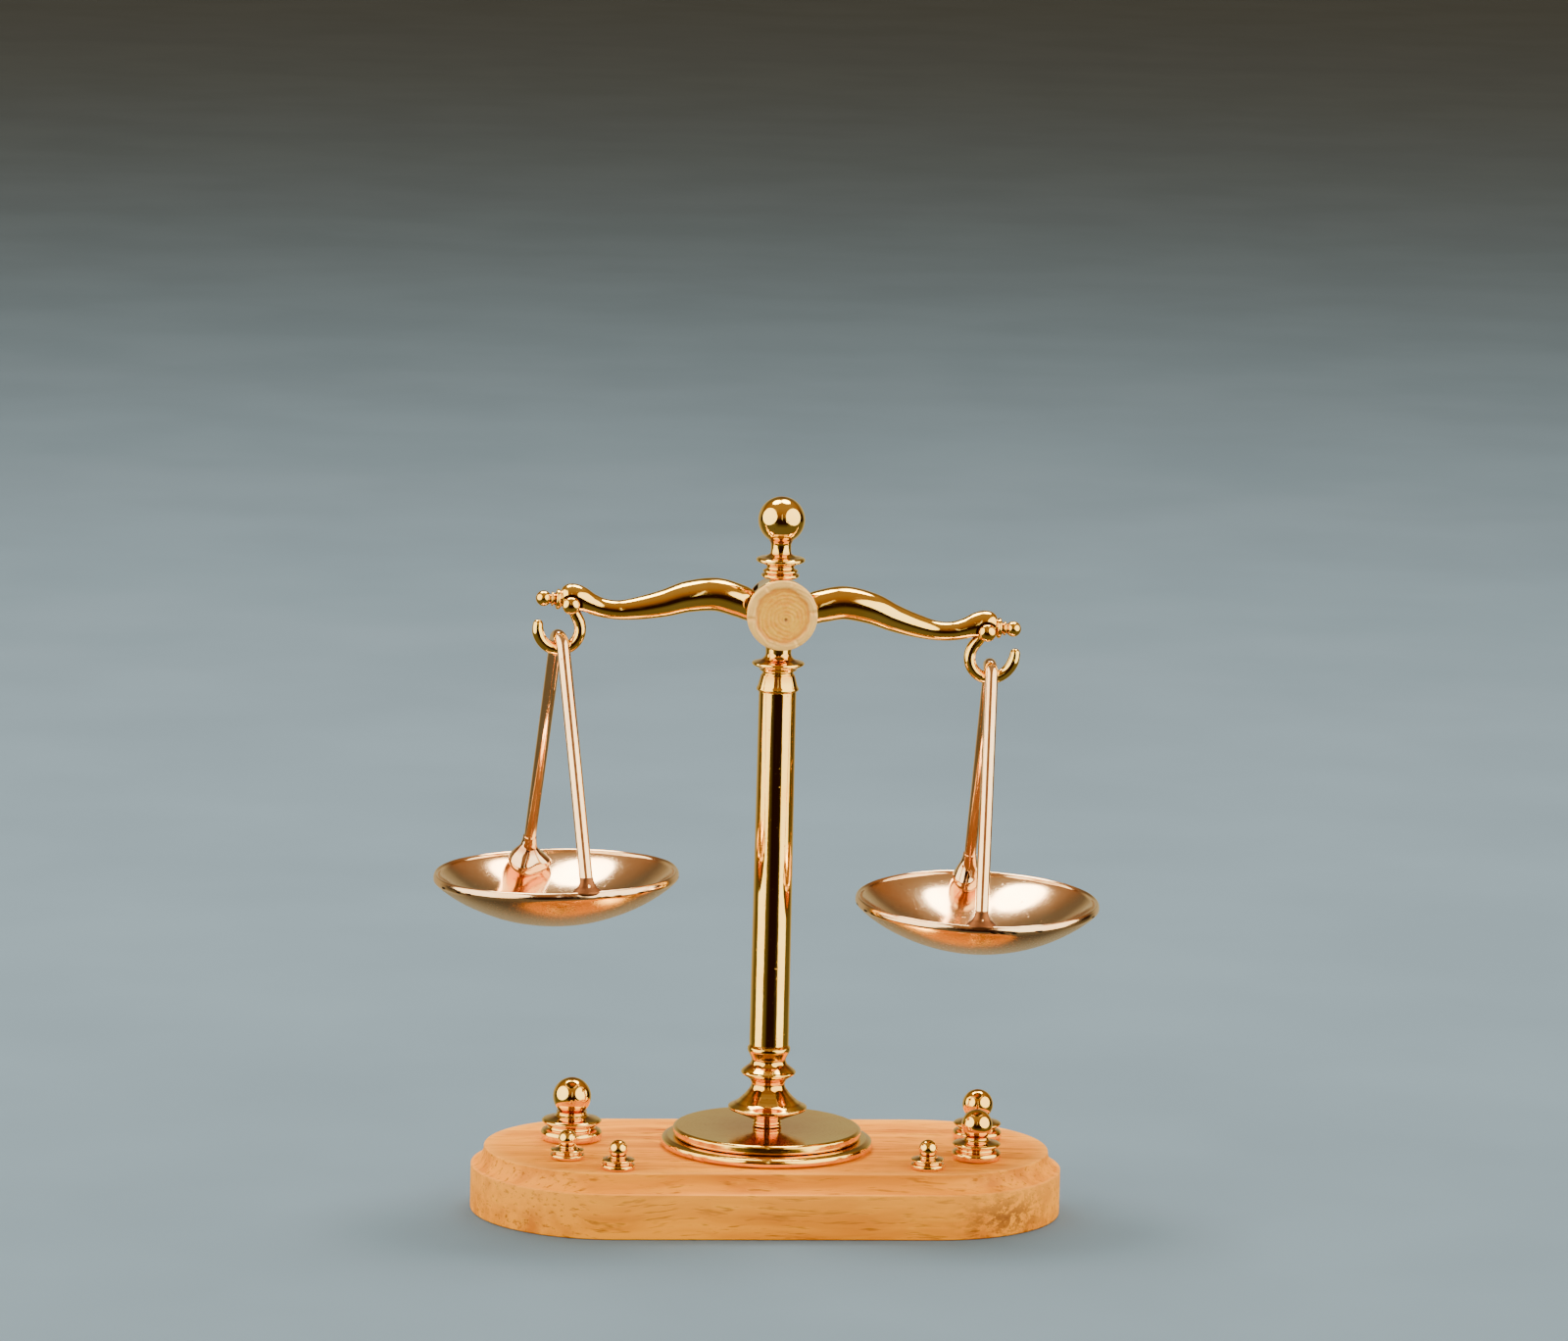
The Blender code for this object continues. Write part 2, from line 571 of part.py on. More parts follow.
def make_beam():
    """The beam, built level round its pivot and then tilted to its rest place."""
    route = arm_route()
    beam = wire("beam", [(p.x, 0.0, p.y) for p in route], [p.z for p in route], "gold_brass")
    cutters = []

    def join(other):
        cutters.append(other)
        combine(beam, other, "UNION")

    def cut(other):
        cutters.append(other)
        combine(beam, other)

    join(cylinder("boss", BOSS_RADIUS, BOSS_WIDTH, (0.0, 0.0, 0.0), "Y"))
    lug_height = LUG_RISE - EYE_DROP
    for side, sign in SIDE.items():
        eye_x = sign * EYE_X
        join(cylinder(f"lug_{side}", LUG_RADIUS, LUG_WIDTH, (eye_x, 0.0, lug_height), "Y"))
        seat = sorted((sign * (EYE_X + LUG_RADIUS - LUG_SEAT_DEPTH),
                       sign * (EYE_X + LUG_RADIUS + CUT_MARGIN)))
        cut(box(f"tip_seat_{side}", (seat[0], -LUG_WIDTH, -2.0 * LUG_RADIUS),
                (seat[1], LUG_WIDTH, 2.0 * LUG_RADIUS)))
        cut(cylinder(f"eye_slot_{side}", LUG_SLOT_RADIUS, LUG_SLOT_WIDTH,
                     (eye_x, 0.0, -EYE_DROP), "Y"))
        way = sorted((sign * (EYE_X - 2.0 * LUG_RADIUS), sign * (EYE_X + LUG_SLOT_RADIUS)))
        cut(box(f"hook_way_{side}", (way[0], -LUG_SLOT_WIDTH / 2, -EYE_DROP - 2.0 * LUG_RADIUS),
                (way[1], LUG_SLOT_WIDTH / 2, -EYE_DROP - RUNNING_GAP)))
        cut(cylinder(f"eye_bore_{side}", EYE_PIN_BORE, LUG_WIDTH + CUT_MARGIN, (eye_x, 0.0, -EYE_DROP),
                     "Y", 12))
    cut(cylinder("pivot_bore", PIN_RADIUS + RUNNING_GAP, BOSS_WIDTH + CUT_MARGIN, (0.0, 0.0, 0.0), "Y", 16))
    pieces = [beam] + cutters
    for side, sign in SIDE.items():
        pieces.append(make_tip(side, sign))
        pieces.append(make_eye_pin(side, sign))
    settle(pieces, (0.0, 0.0, PIVOT_HEIGHT), about("Y", REST_TILT))
    hang(pieces, "beam", (0.0, 0.0, PIVOT_HEIGHT))


def make_tip(side, sign):
    """The turned end of an arm: a neck, a flange and a button."""
    length = TIP_LENGTH
    tip = turned(f"beam_tip_{side}", [
        (0.0, length), (0.35, length - 0.06), (0.58, length - 0.3), (0.6, length - 0.5),
        (0.42, length - 0.75), (TIP_FLANGE_RADIUS - 0.08, length - 0.88),
        (TIP_FLANGE_RADIUS, length - 1.05), (TIP_FLANGE_RADIUS - 0.12, length - 1.25),
        (0.45, length - 1.4), (0.55, length - 1.65), (0.42, 0.0), (0.0, 0.0),
    ], "gold_brass", 16)
    seat = EYE_X + LUG_RADIUS - LUG_SEAT_DEPTH + SEAT_GAP
    settle([tip], (sign * seat, 0.0, TIP_RISE - EYE_DROP), about("Y", sign * 90.0))
    return tip


def make_eye_pin(side, sign):
    """The headed pin that the hook hangs on, its head at the front."""
    reach = LUG_WIDTH / 2 + SEAT_GAP
    head = EYE_PIN_HEAD_RADIUS
    pin = turned(f"eye_pin_{side}", [
        (0.0, EYE_PIN_HEAD_HEIGHT), (0.6 * head, 0.8 * EYE_PIN_HEAD_HEIGHT),
        (head, 0.3 * EYE_PIN_HEAD_HEIGHT), (head, 0.0),
        (EYE_PIN_RADIUS, 0.0), (EYE_PIN_RADIUS, -2.0 * reach), (0.0, -2.0 * reach),
    ], "gold_brass", 12)
    settle([pin], (sign * EYE_X, -reach, -EYE_DROP), about("X", 90.0))
    return pin


def eye_place(side):
    """Where a hook's eye is with the beam at rest."""
    level = Vector((SIDE[side] * EYE_X, 0.0, -EYE_DROP))
    return Vector((0.0, 0.0, PIVOT_HEIGHT)) + about("Y", REST_TILT) @ level


def make_hook(side):
    """A hook: a flat eye on the pin, then wire that runs inboard, under and up outboard."""
    sign = SIDE[side]
    distance = math.hypot(HOOK_REACH, HOOK_DROP)
    toward_eye = math.degrees(math.atan2(HOOK_DROP, -HOOK_REACH))
    meet = toward_eye + math.degrees(math.acos(HOOK_RADIUS / distance))
    bend = arc(HOOK_REACH, -HOOK_DROP, HOOK_RADIUS, meet, 360.0 + HOOK_TIP_ANGLE, 16)
    shank = [(0.7 * x, 0.7 * z) for x, z in bend[:1]]
    points = [(0.25 * bend[0][0], 0.25 * bend[0][1])] + shank + bend
    thin = HOOK_EYE_WIDTH / 2
    radii = [thin, 0.95 * HOOK_WIRE_RADIUS] + [HOOK_WIRE_RADIUS] * (len(bend) - 2)
    radii += [0.85 * HOOK_WIRE_RADIUS, 0.35 * HOOK_WIRE_RADIUS]
    hook = wire(f"hook_{side}", [(sign * x, 0.0, z) for x, z in points], radii, "gold_brass")
    eye = cylinder(f"hook_eye_{side}", HOOK_EYE_RADIUS, HOOK_EYE_WIDTH, (0.0, 0.0, 0.0), "Y", 16)
    bore = cylinder(f"hook_bore_{side}", EYE_PIN_RADIUS + RUNNING_GAP, LUG_WIDTH, (0.0, 0.0, 0.0), "Y", 12)
    combine(hook, eye, "UNION")
    combine(hook, bore)
    settle([hook, eye, bore], eye_place(side), about("Y", HOOK_LEAN[side]))
    hang([hook, eye, bore], f"hook_{side}", eye_place(side))


# ------------------------------------------------------------------ bails and pans

def hook_bottom(side):
    """The middle of the wire at a hook's lowest point, where its bail hangs."""
    centre = about("Y", HOOK_LEAN[side]) @ Vector((SIDE[side] * HOOK_REACH, 0.0, -HOOK_DROP))
    return eye_place(side) + centre - Vector((0.0, 0.0, HOOK_RADIUS))


def pan_turn(side):
    """How a pan is turned at rest, as a matrix."""
    return about("X", PAN_PITCH[side]) @ about("Y", PAN_ROLL[side]) @ about("Z", BAIL_YAW[side])


def pan_centre(side):
    """The middle of a pan's rim, below its hook's lowest wire."""
    return hook_bottom(side) + about("Y", BAIL_LEAN[side]) @ Vector((0.0, 0.0, -BAIL_DROP))


def dish_height(radius, depth):
    """The height of a round dish's surface at one radius, its rim at 0."""
    edge = PAN_RADIUS - RIM_ROLL_RADIUS
    ball = (edge ** 2 + depth ** 2) / (2.0 * depth)
    return ball - depth - math.sqrt(ball ** 2 - radius ** 2)


def dish_points(depth, count):
    """The dish's curve from its middle out to its rolled edge."""
    edge = PAN_RADIUS - 1.6 * RIM_ROLL_RADIUS
    return [(edge * i / count, dish_height(edge * i / count, depth)) for i in range(count + 1)]


def make_pan(side):
    """A shallow dish with a rolled edge."""
    roll = RIM_ROLL_RADIUS
    inner = dish_points(PAN_DEPTH - PAN_WALL, 6)
    outer = dish_points(PAN_DEPTH, 6)
    rim = arc(PAN_RADIUS - roll, 0.0, roll, 170.0, -60.0, 7)
    pan = turned(f"pan_{side}", inner + rim + list(reversed(outer)), "rose_brass", 32)
    settle([pan], pan_centre(side), pan_turn(side))
    return [pan]


def foot_place(side, end):
    """Where a bail's foot stops, over the pan's edge; end is -1 at the front, +1 at the rear."""
    if end < 0:
        inset, sink = FRONT_FOOT_INSET, 0.0
    else:
        inset, sink = REAR_FOOT_INSET[side], REAR_FOOT_SINK[side]
    height = RIM_ROLL_RADIUS + FOOT_CLEARANCE - sink
    local = Vector((BAIL_SHIFT[side], end * (PAN_RADIUS - inset), height))
    return pan_centre(side) + pan_turn(side) @ local


def make_bail(side):
    """A bail: wire bent over the hook, with a leg down to the front and one to the rear."""
    frame = about("Y", BAIL_LEAN[side]) @ about("Z", BAIL_YAW[side])
    origin = hook_bottom(side)
    bend = HOOK_WIRE_RADIUS + BAIL_WIRE_RADIUS + RUNNING_GAP
    feet = {}
    leave = {}
    for end in (-1, 1):
        foot = frame.inverted() @ (foot_place(side, end) - origin)
        feet[end] = foot
        distance = math.hypot(foot.y, foot.z)
        from_down = math.atan2(abs(foot.y), -foot.z) + math.acos(bend / distance)
        leave[end] = 180.0 - math.degrees(from_down)
    bow = [Vector((0.0, y, z)) for y, z in arc(0.0, 0.0, bend, 90.0 + leave[-1], 90.0 - leave[1], 8)]
    points = [feet[-1]] + bow + [feet[1]]
    bail = wire(f"bail_{side}", points, [BAIL_WIRE_RADIUS] * len(points), "rose_brass")
    settle([bail], origin, frame)
    front = make_lug(side, -1, origin + frame @ bow[0])
    rear = make_lug(side, 1, origin + frame @ bow[-1])
    return [bail] + front + rear


def make_lug(side, end, leg_top):
    """The solder that holds a bail's foot: round the wire's end, and seated on the dish."""
    radius, height = (FRONT_LUG_RADIUS, FRONT_LUG_HEIGHT) if end < 0 else (REAR_LUG_RADIUS, REAR_LUG_HEIGHT)
    foot = foot_place(side, end)
    along = (leg_top - foot).normalized()
    name = f"{'front' if end < 0 else 'rear'}_lug_{side}"
    neck = BAIL_WIRE_RADIUS + 0.2
    base = LUG_SOCKET_DEPTH - height
    body = [(0.0, LUG_SOCKET_DEPTH), (neck, LUG_SOCKET_DEPTH)]
    for step in range(1, 7):
        turn = math.pi * step / 6
        swell = neck + (radius - neck) * math.sin(0.5 * turn) ** 2 if step < 4 else radius * math.sin(turn)
        body.append((max(swell, 0.0), LUG_SOCKET_DEPTH - height * step / 6))
    body[-1] = (0.0, base)
    lug = turned(name, body, "rose_brass", 12)
    socket = cylinder(f"{name}_socket", BAIL_WIRE_RADIUS + BORE_GAP, 2.0 * height,
                      (0.0, 0.0, height - BORE_GAP), sides=12)
    turn = Vector((0.0, 0.0, 1.0)).rotation_difference(along).to_matrix()
    combine(lug, socket)
    settle([lug, socket], foot, turn)
    gap = SEAT_GAP
    roll = RIM_ROLL_RADIUS + gap
    outline = dish_points(PAN_DEPTH - PAN_WALL - gap, 6)
    outline += arc(PAN_RADIUS - RIM_ROLL_RADIUS, 0.0, roll, 170.0, 0.0, 6)
    outline += [(PAN_RADIUS + gap, -PAN_DEPTH - CUT_MARGIN), (0.0, -PAN_DEPTH - CUT_MARGIN)]
    bed = turned(f"{name}_bed", outline, steps=32)
    settle([bed], pan_centre(side), pan_turn(side))
    combine(lug, bed)
    return [lug, socket, bed]


# ------------------------------------------------------------------------- weights

def make_weight(name, size, side, end_inset, front_inset):
    """A weight: two flanges with a groove between them, a hollowed neck and a ball."""
    height, ball, flange = size
    centre = height - ball
    neck = 0.47 * flange
    points = arc(0.0, centre, ball, 90.0, -50.0, 8)
    points[0] = (0.0, height)
    points += [
        (neck, 0.46 * height), (neck + 0.1 * flange, 0.38 * height),
        (0.93 * flange, 0.335 * height), (0.98 * flange, 0.30 * height),
        (0.93 * flange, 0.265 * height), (0.78 * flange, 0.235 * height),
        (0.78 * flange, 0.19 * height), (0.94 * flange, 0.16 * height),
        (flange, 0.12 * height), (flange, 0.05 * height), (0.95 * flange, 0.0), (0.0, 0.0),
    ]
    weight = turned(name, points, "gold_brass", 16)
    along = SIDE[side] * (BOARD_LENGTH / 2 - end_inset)
    back = front_inset - BOARD_WIDTH / 2
    weight.location = Vector((along, back, BOARD_HEIGHT + SEAT_GAP)) * MM


def main():
    clear_scene()
    make_board()
    make_tie_rod()
    make_foot_discs()
    make_column_foot()
    make_column_tube()
    make_capital()
    make_drum()
    make_caps_and_pin()
    make_finial()
    make_beam()
    for side in SIDE:
        make_hook(side)
        hang(make_bail(side) + make_pan(side), f"pan_{side}", hook_bottom(side))
    for name, place in WEIGHTS.items():
        make_weight(name, *place)


main()
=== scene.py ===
# %% [markdown]
# # A small brass balance on a wooden board
#
# The real thing is an ornament that stands in one hand: a turned brass stand screwed to an oval
# of pale wood, a rocking beam with a hook at each end, two copper-toned pans on wire bails, and
# six weights. Everything is small and shiny, so the eye reads it from its reflections. That asks
# for clean, dense surfaces with softly rounded edges, and for something worth reflecting.
#
# The model's frame gives where every body turns and how large each part is. This script makes the
# fine surfaces around it. All lengths below are in millimetres until a mesh is made.

# %% Load the frame
import json
import math

import bpy
import numpy as np
from mathutils import Matrix, Quaternion, Vector


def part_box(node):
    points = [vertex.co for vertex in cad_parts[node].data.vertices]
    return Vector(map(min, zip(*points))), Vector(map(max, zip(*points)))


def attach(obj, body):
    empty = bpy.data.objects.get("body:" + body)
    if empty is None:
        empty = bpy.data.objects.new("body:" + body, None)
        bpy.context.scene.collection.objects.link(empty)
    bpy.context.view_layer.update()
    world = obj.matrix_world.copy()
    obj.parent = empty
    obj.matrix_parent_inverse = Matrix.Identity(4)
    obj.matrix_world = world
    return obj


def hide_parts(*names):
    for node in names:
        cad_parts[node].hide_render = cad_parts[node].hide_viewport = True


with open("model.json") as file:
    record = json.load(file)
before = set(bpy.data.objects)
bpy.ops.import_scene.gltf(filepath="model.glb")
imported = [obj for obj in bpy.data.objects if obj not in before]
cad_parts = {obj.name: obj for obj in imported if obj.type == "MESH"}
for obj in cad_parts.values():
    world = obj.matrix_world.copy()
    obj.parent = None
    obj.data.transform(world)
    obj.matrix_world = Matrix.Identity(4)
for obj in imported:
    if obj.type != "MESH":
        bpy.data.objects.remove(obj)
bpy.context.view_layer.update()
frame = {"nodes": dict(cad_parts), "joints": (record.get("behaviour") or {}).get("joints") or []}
MM = 0.001
JOINTS = {joint["name"]: joint for joint in frame["joints"]}

# %% [markdown]
# ## The camera
#
# A long lens from a little above and a little to the left flattens the view, which suits an object
# made of circles: each disc becomes an even, thin ellipse. The camera is placed by its distance
# and its two angles round a point on the column, and then leans a little, as a hand-held one does.

# %% Camera
AZIMUTH, PITCH, LEAN = math.radians(-5.5), math.radians(9.14), math.radians(1.4)
DISTANCE = 0.62
LENS = 170.0
AIM = Vector((0.0005, 0.0, 0.04615))

back = Vector((math.sin(AZIMUTH) * math.cos(PITCH), -math.cos(AZIMUTH) * math.cos(PITCH),
               math.sin(PITCH)))
camera = bpy.data.objects.new("camera", bpy.data.cameras.new("camera"))
camera.data.lens = LENS
camera.data.sensor_width = 36.0
camera.data.clip_start = 0.01
camera.data.clip_end = 20.0
camera.location = AIM + back * DISTANCE
camera.rotation_mode = "QUATERNION"
camera.rotation_quaternion = (-back).to_track_quat("-Z", "Y") @ Quaternion((0.0, 0.0, 1.0), LEAN)
bpy.context.scene.collection.objects.link(camera)
bpy.context.scene.camera = camera
print("camera at", [round(v, 4) for v in camera.location])

# %% [markdown]
# ## Lines and rows
#
# A turned part is a profile carried round an axis, and a wire is a circle carried along a path.
# Both are grids: rows of points along the shape and columns round it. Blender's Screw modifier and
# bevelled curves could make them too, but a grid worked out as one array lets every row and column
# be bent, dented or coloured by a formula.
#
# `soften` is what makes metal look real. A perfectly sharp edge never catches the light, so each
# corner is swapped for a short curve, with a spare point on either side that keeps the flats flat.

# %% Lines
def soften(points, cut=0.1, steps=7):
    """Round the corners of a line: each corner becomes a parabola that leaves the straight `cut`
    before the corner and joins the next one `cut` after it."""
    points = np.asarray(points, float)
    corner = points[1:-1]
    back_way = points[:-2] - corner
    ahead_way = points[2:] - corner
    back_size = np.linalg.norm(back_way, axis=1)
    ahead_size = np.linalg.norm(ahead_way, axis=1)
    reach = np.minimum(cut, 0.4 * np.minimum(back_size, ahead_size))
    to_back = back_way / back_size[:, None] * reach[:, None]
    to_ahead = ahead_way / ahead_size[:, None] * reach[:, None]
    t = np.linspace(0.0, 1.0, steps)[None, :, None]
    curve = corner[:, None] + (1 - t) ** 2 * to_back[:, None] + t ** 2 * to_ahead[:, None]
    spare_before = (corner + 1.2 * to_back)[:, None]
    spare_after = (corner + 1.2 * to_ahead)[:, None]
    rounded = np.concatenate([spare_before, curve, spare_after], axis=1).reshape(-1, points.shape[1])
    return np.concatenate([points[:1], rounded, points[-1:]])


def flowing(points, per_span=8):
    """A smooth line through every point: between two points it is the cubic whose slope at each
    end is half the step between that end's neighbours."""
    points = np.asarray(points, float)
    padded = np.concatenate([2 * points[:1] - points[1:2], points, 2 * points[-1:] - points[-2:-1]])
    t = (np.arange(per_span) / per_span)[None, :, None]
    p0, p1, p2, p3 = (padded[i:len(padded) - 3 + i, None] for i in range(4))
    spans = 0.5 * (2 * p1 + (p2 - p0) * t + (2 * p0 - 5 * p1 + 4 * p2 - p3) * t ** 2
                   + (3 * p1 - p0 - 3 * p2 + p3) * t ** 3)
    return np.concatenate([spans.reshape(-1, points.shape[1]), points[-1:]])


def arc(centre, radius, start, end, count=24):
    """Points on a circle between two angles in degrees, counted from +r towards +z."""
    angle = np.radians(np.linspace(start, end, count))
    return np.stack([centre[0] + radius * np.cos(angle), centre[1] + radius * np.sin(angle)], axis=1)


print("a softened corner has", len(soften([(0, 0), (1, 0), (1, 1)], 0.2)), "points")

# %% Rows round an axis and along a path
COLUMNS = 128


def turned(profile, columns=COLUMNS):
    """Carry a profile of (r, z) round the Z axis: x = r cos a, y = r sin a, z = z."""
    angle = np.linspace(0.0, 2.0 * math.pi, columns, endpoint=False)
    r, z = np.asarray(profile, float).T
    return np.stack([r[:, None] * np.cos(angle), r[:, None] * np.sin(angle),
                     np.broadcast_to(z[:, None], (len(z), columns))], axis=-1)


def swept(path, across, normal, columns=40, front_end=True, back_end=True):
    """Carry an ellipse along a flat path. `across` holds its half size in the path's plane and
    along `normal`. Each end closes with a dome: the ellipse shrinks as cos a while its middle
    runs on by sin a of its own half size."""
    path = np.asarray(path, float)
    across = np.asarray(across, float)
    slope = np.gradient(path, axis=0)
    slope /= np.linalg.norm(slope, axis=1)[:, None]
    dome = np.radians(np.linspace(0.0, 84.0, 9))[1:, None]
    if back_end:
        path = np.concatenate([path, path[-1] + slope[-1] * across[-1].mean() * np.sin(dome)])
        across = np.concatenate([across, across[-1] * np.cos(dome)])
        slope = np.concatenate([slope, np.repeat(slope[-1:], len(dome), axis=0)])
    if front_end:
        path = np.concatenate([(path[0] - slope[0] * across[0].mean() * np.sin(dome))[::-1], path])
        across = np.concatenate([(across[0] * np.cos(dome))[::-1], across])
        slope = np.concatenate([np.repeat(slope[:1], len(dome), axis=0), slope])
    normal = np.asarray(normal, float) / np.linalg.norm(normal)
    side = np.cross(normal, slope)
    side /= np.linalg.norm(side, axis=1)[:, None]
    angle = np.linspace(0.0, 2.0 * math.pi, columns, endpoint=False)[None, :, None]
    return (path[:, None] + across[:, None, :1] * np.cos(angle) * side[:, None]
            + across[:, None, 1:] * np.sin(angle) * normal)


def about(axis, degrees):
    """A rotation about one axis, as an array."""
    return np.array(Matrix.Rotation(math.radians(degrees), 3, axis))


def placed(rows, place, rotation=np.eye(3)):
    """Turn rows about their own origin and move them to a place."""
    return rows @ np.asarray(rotation).T + np.asarray(place, float)


def seat(node):
    """The lowest corner, highest corner and middle of a node's box, in millimetres."""
    low, high = (np.array(corner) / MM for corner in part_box(node))
    return low, high, (low + high) / 2


print("the tube's box:", [np.round(v, 2).tolist() for v in seat("column_tube")[:2]])

# %% [markdown]
# ## From rows to a mesh
#
# Neighbouring rows and columns make four-sided faces. The columns close on themselves, and each
# end of the rows closes on to one middle point, so a piece is always one closed skin. A washer or
# a board with a hole has no ends: there the last row joins the first.
#
# The holes and slots are then cut with Booleans, and each piece is tied to the body that it moves
# with, while the part of the model that it stands for is hidden.
#
# Two things are stored besides the shape. A UV map says how far round and how far along each spot
# is, and the attribute `groove_shade` is 1 in a groove and 0 on a crest. The metals use it to paint
# shade into the grooves, which keeps them darker.

# %% Make a piece
def store(made, name, values):
    """Keep one number for each point of a piece."""
    layer = made.data.attributes.new(name, "FLOAT", "POINT")
    layer.data.foreach_set("value", np.asarray(values, np.float32))


# How much painted shade the metals lay in each groove.
def groove_shade_share(rows, depth=0.12, reach=5):
    """How far each row lies inside the line between its neighbours `reach` rows away, as a share
    of `depth`: ((before + after) / 2 - radius) / depth. A row's radius is counted from its own
    middle."""
    radius = np.linalg.norm(rows - rows.mean(axis=1, keepdims=True), axis=2).mean(axis=1)
    padded = np.pad(radius, reach, mode="edge")
    around = (padded[:-2 * reach] + padded[2 * reach:]) / 2
    return np.clip((around - radius) / depth, 0.0, 1.0)


def piece(name, rows, finish, ring=False):
    """A closed mesh from rows of points in millimetres. Faces join row i to i + 1 and column j to
    j + 1. They are turned over if the volume they hold, the sum of a . (b x c) over the
    triangles, comes out negative."""
    count, columns = rows.shape[:2]
    poles = [] if ring else [0, -1]
    points = np.concatenate([rows.reshape(-1, 3), rows[poles].mean(axis=1)]) * MM
    row = np.arange(count if ring else count - 1)[:, None]
    column = np.arange(columns)[None, :]
    next_row, next_column = (row + 1) % count, (column + 1) % columns
    quads = np.stack([row * columns + column, next_row * columns + column,
                      next_row * columns + next_column, row * columns + next_column], axis=-1)
    quads = quads.reshape(-1, 4)
    first, last = np.arange(columns), (count - 1) * columns + np.arange(columns)
    pole = np.full(columns, count * columns)
    fans = np.concatenate([np.stack([pole, first, np.roll(first, -1)], axis=1),
                           np.stack([pole + 1, np.roll(last, -1), last], axis=1)])
    fans = fans[:0] if ring else fans
    corners = np.concatenate([quads[:, [0, 1, 2]], quads[:, [0, 2, 3]], fans])
    a, b, c = (points[corners[:, i]] for i in range(3))
    if np.einsum("ij,ij->i", a, np.cross(b, c)).sum() < 0.0:
        quads, fans = quads[:, ::-1], fans[:, ::-1]
    mesh = bpy.data.meshes.new(name)
    mesh.from_pydata(points.tolist(), [], quads.tolist() + fans.tolist())
    made = bpy.data.objects.new(name, mesh)
    bpy.context.scene.collection.objects.link(made)

    steps = np.linalg.norm(np.diff(rows, axis=0), axis=2).mean(axis=1)
    along = np.append(0.0, np.cumsum(steps))
    u = np.append(np.tile(np.arange(columns) / columns, count), np.full(len(poles), 0.5))
    v = np.append(np.repeat(along, columns), along[poles])
    corner_point = np.zeros(len(mesh.loops), np.int32)
    mesh.loops.foreach_get("vertex_index", corner_point)
    around_uv = u[corner_point]
    quad_u = around_uv[:len(quads) * 4].reshape(-1, 4)
    across_seam = (quad_u.max(axis=1) - quad_u.min(axis=1) > 0.5)[:, None] & (quad_u < 0.25)
    quad_u[across_seam] += 1.0
    uv = np.stack([around_uv, v[corner_point]], axis=1).astype(np.float32)
    mesh.uv_layers.new(name="UVMap").data.foreach_set("uv", uv.ravel())
    store(made, "groove_shade", np.append(np.repeat(groove_shade_share(rows), columns), np.zeros(len(poles))))
    return dress(made, finish)


def dress(made, finish):
    """Give a piece its finish and its smooth shading, with edges sharper than 38 degrees kept."""
    made.data.materials.clear()
    made.data.materials.append(FINISHES[finish])
    made.data.shade_smooth()
    made.data.set_sharp_from_angle(angle=math.radians(38.0))
    return made


def carve(made, rows):
    """Cut a shape out of a piece with an exact Boolean, applied at once."""
    tool = piece("tool", rows, "steel")
    cut = made.modifiers.new("cut", "BOOLEAN")
    cut.operation = "DIFFERENCE"
    cut.solver = "EXACT"
    cut.object = tool
    graph = bpy.context.evaluated_depsgraph_get()
    mesh = bpy.data.meshes.new_from_object(made.evaluated_get(graph))
    made.modifiers.clear()
    made.data = mesh
    bpy.data.objects.remove(tool, do_unlink=True)


def build(name, rows, finish, body, stands_for, ring=False, cuts=()):
    """Make a piece, cut it and give it its finish, tie it to the body it rides on, and hide the
    node it stands for."""
    made = piece(name, rows, finish, ring)
    for shape in cuts:
        carve(made, shape)
    dress(made, finish)
    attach(made, body)
    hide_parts(stands_for)
    print(f"{name}: {len(made.data.polygons)} faces, rides on {body}")
    return made


def block(low, high):
    """Rows of a plain box between two corners, for cutting."""
    (x0, y0, z0), (x1, y1, z1) = low, high
    return np.array([[(x0, y0, z), (x1, y0, z), (x1, y1, z), (x0, y1, z)] for z in (z0, z1)])


print("shaping helpers ready")

# %% [markdown]
# ## Shared effects
#
# Each effect is a node group: it is built once and placed with its own values. The metals and the
# cap share the first two, and the third keeps the steps of the wood together.
#
# * `plating wear` is what a plated casting shows close up: a soft cloudiness, hair-fine rubbing
#   marks that run one way, and a few pinholes.
# * `turning lines` are the rings that a lathe tool leaves on a face.
# * `wood grain` is a board sawn along the tree: long bands that wander, with short dark pores.

# %% Node helpers
def fill(sockets, values):
    """Fill sockets with links or with plain values."""
    for key, value in values.items():
        if isinstance(value, bpy.types.NodeSocket):
            value.id_data.links.new(value, sockets[key])
        else:
            sockets[key].default_value = value


def node(tree, kind, inputs=None, **settings):
    """Add a node, set its properties, and fill its sockets."""
    made = tree.nodes.new(kind)
    for key, value in settings.items():
        setattr(made, key, value)
    fill(made.inputs, inputs or {})
    return made


def maths(operation, a, b=0.0):
    """One Math node, and its result. It goes in the tree of whichever value is a socket."""
    tree = (a if isinstance(a, bpy.types.NodeSocket) else b).id_data
    return node(tree, "ShaderNodeMath", {0: a, 1: b}, operation=operation).outputs[0]


def times(a, b):
    """a times b."""
    return maths("MULTIPLY", a, b)


def plus(a, b):
    """a plus b."""
    return maths("ADD", a, b)


def vectors(operation, a, b=(0.0, 0.0, 0.0)):
    """One Vector Math node, and its vector or its length."""
    made = node(a.id_data, "ShaderNodeVectorMath", {0: a, 1: b}, operation=operation)
    return made.outputs["Value" if operation == "LENGTH" else "Vector"]


def shifted(vector, by):
    """A vector moved by a fixed amount."""
    return node(vector.id_data, "ShaderNodeMapping", {"Vector": vector, "Location": by}).outputs[0]


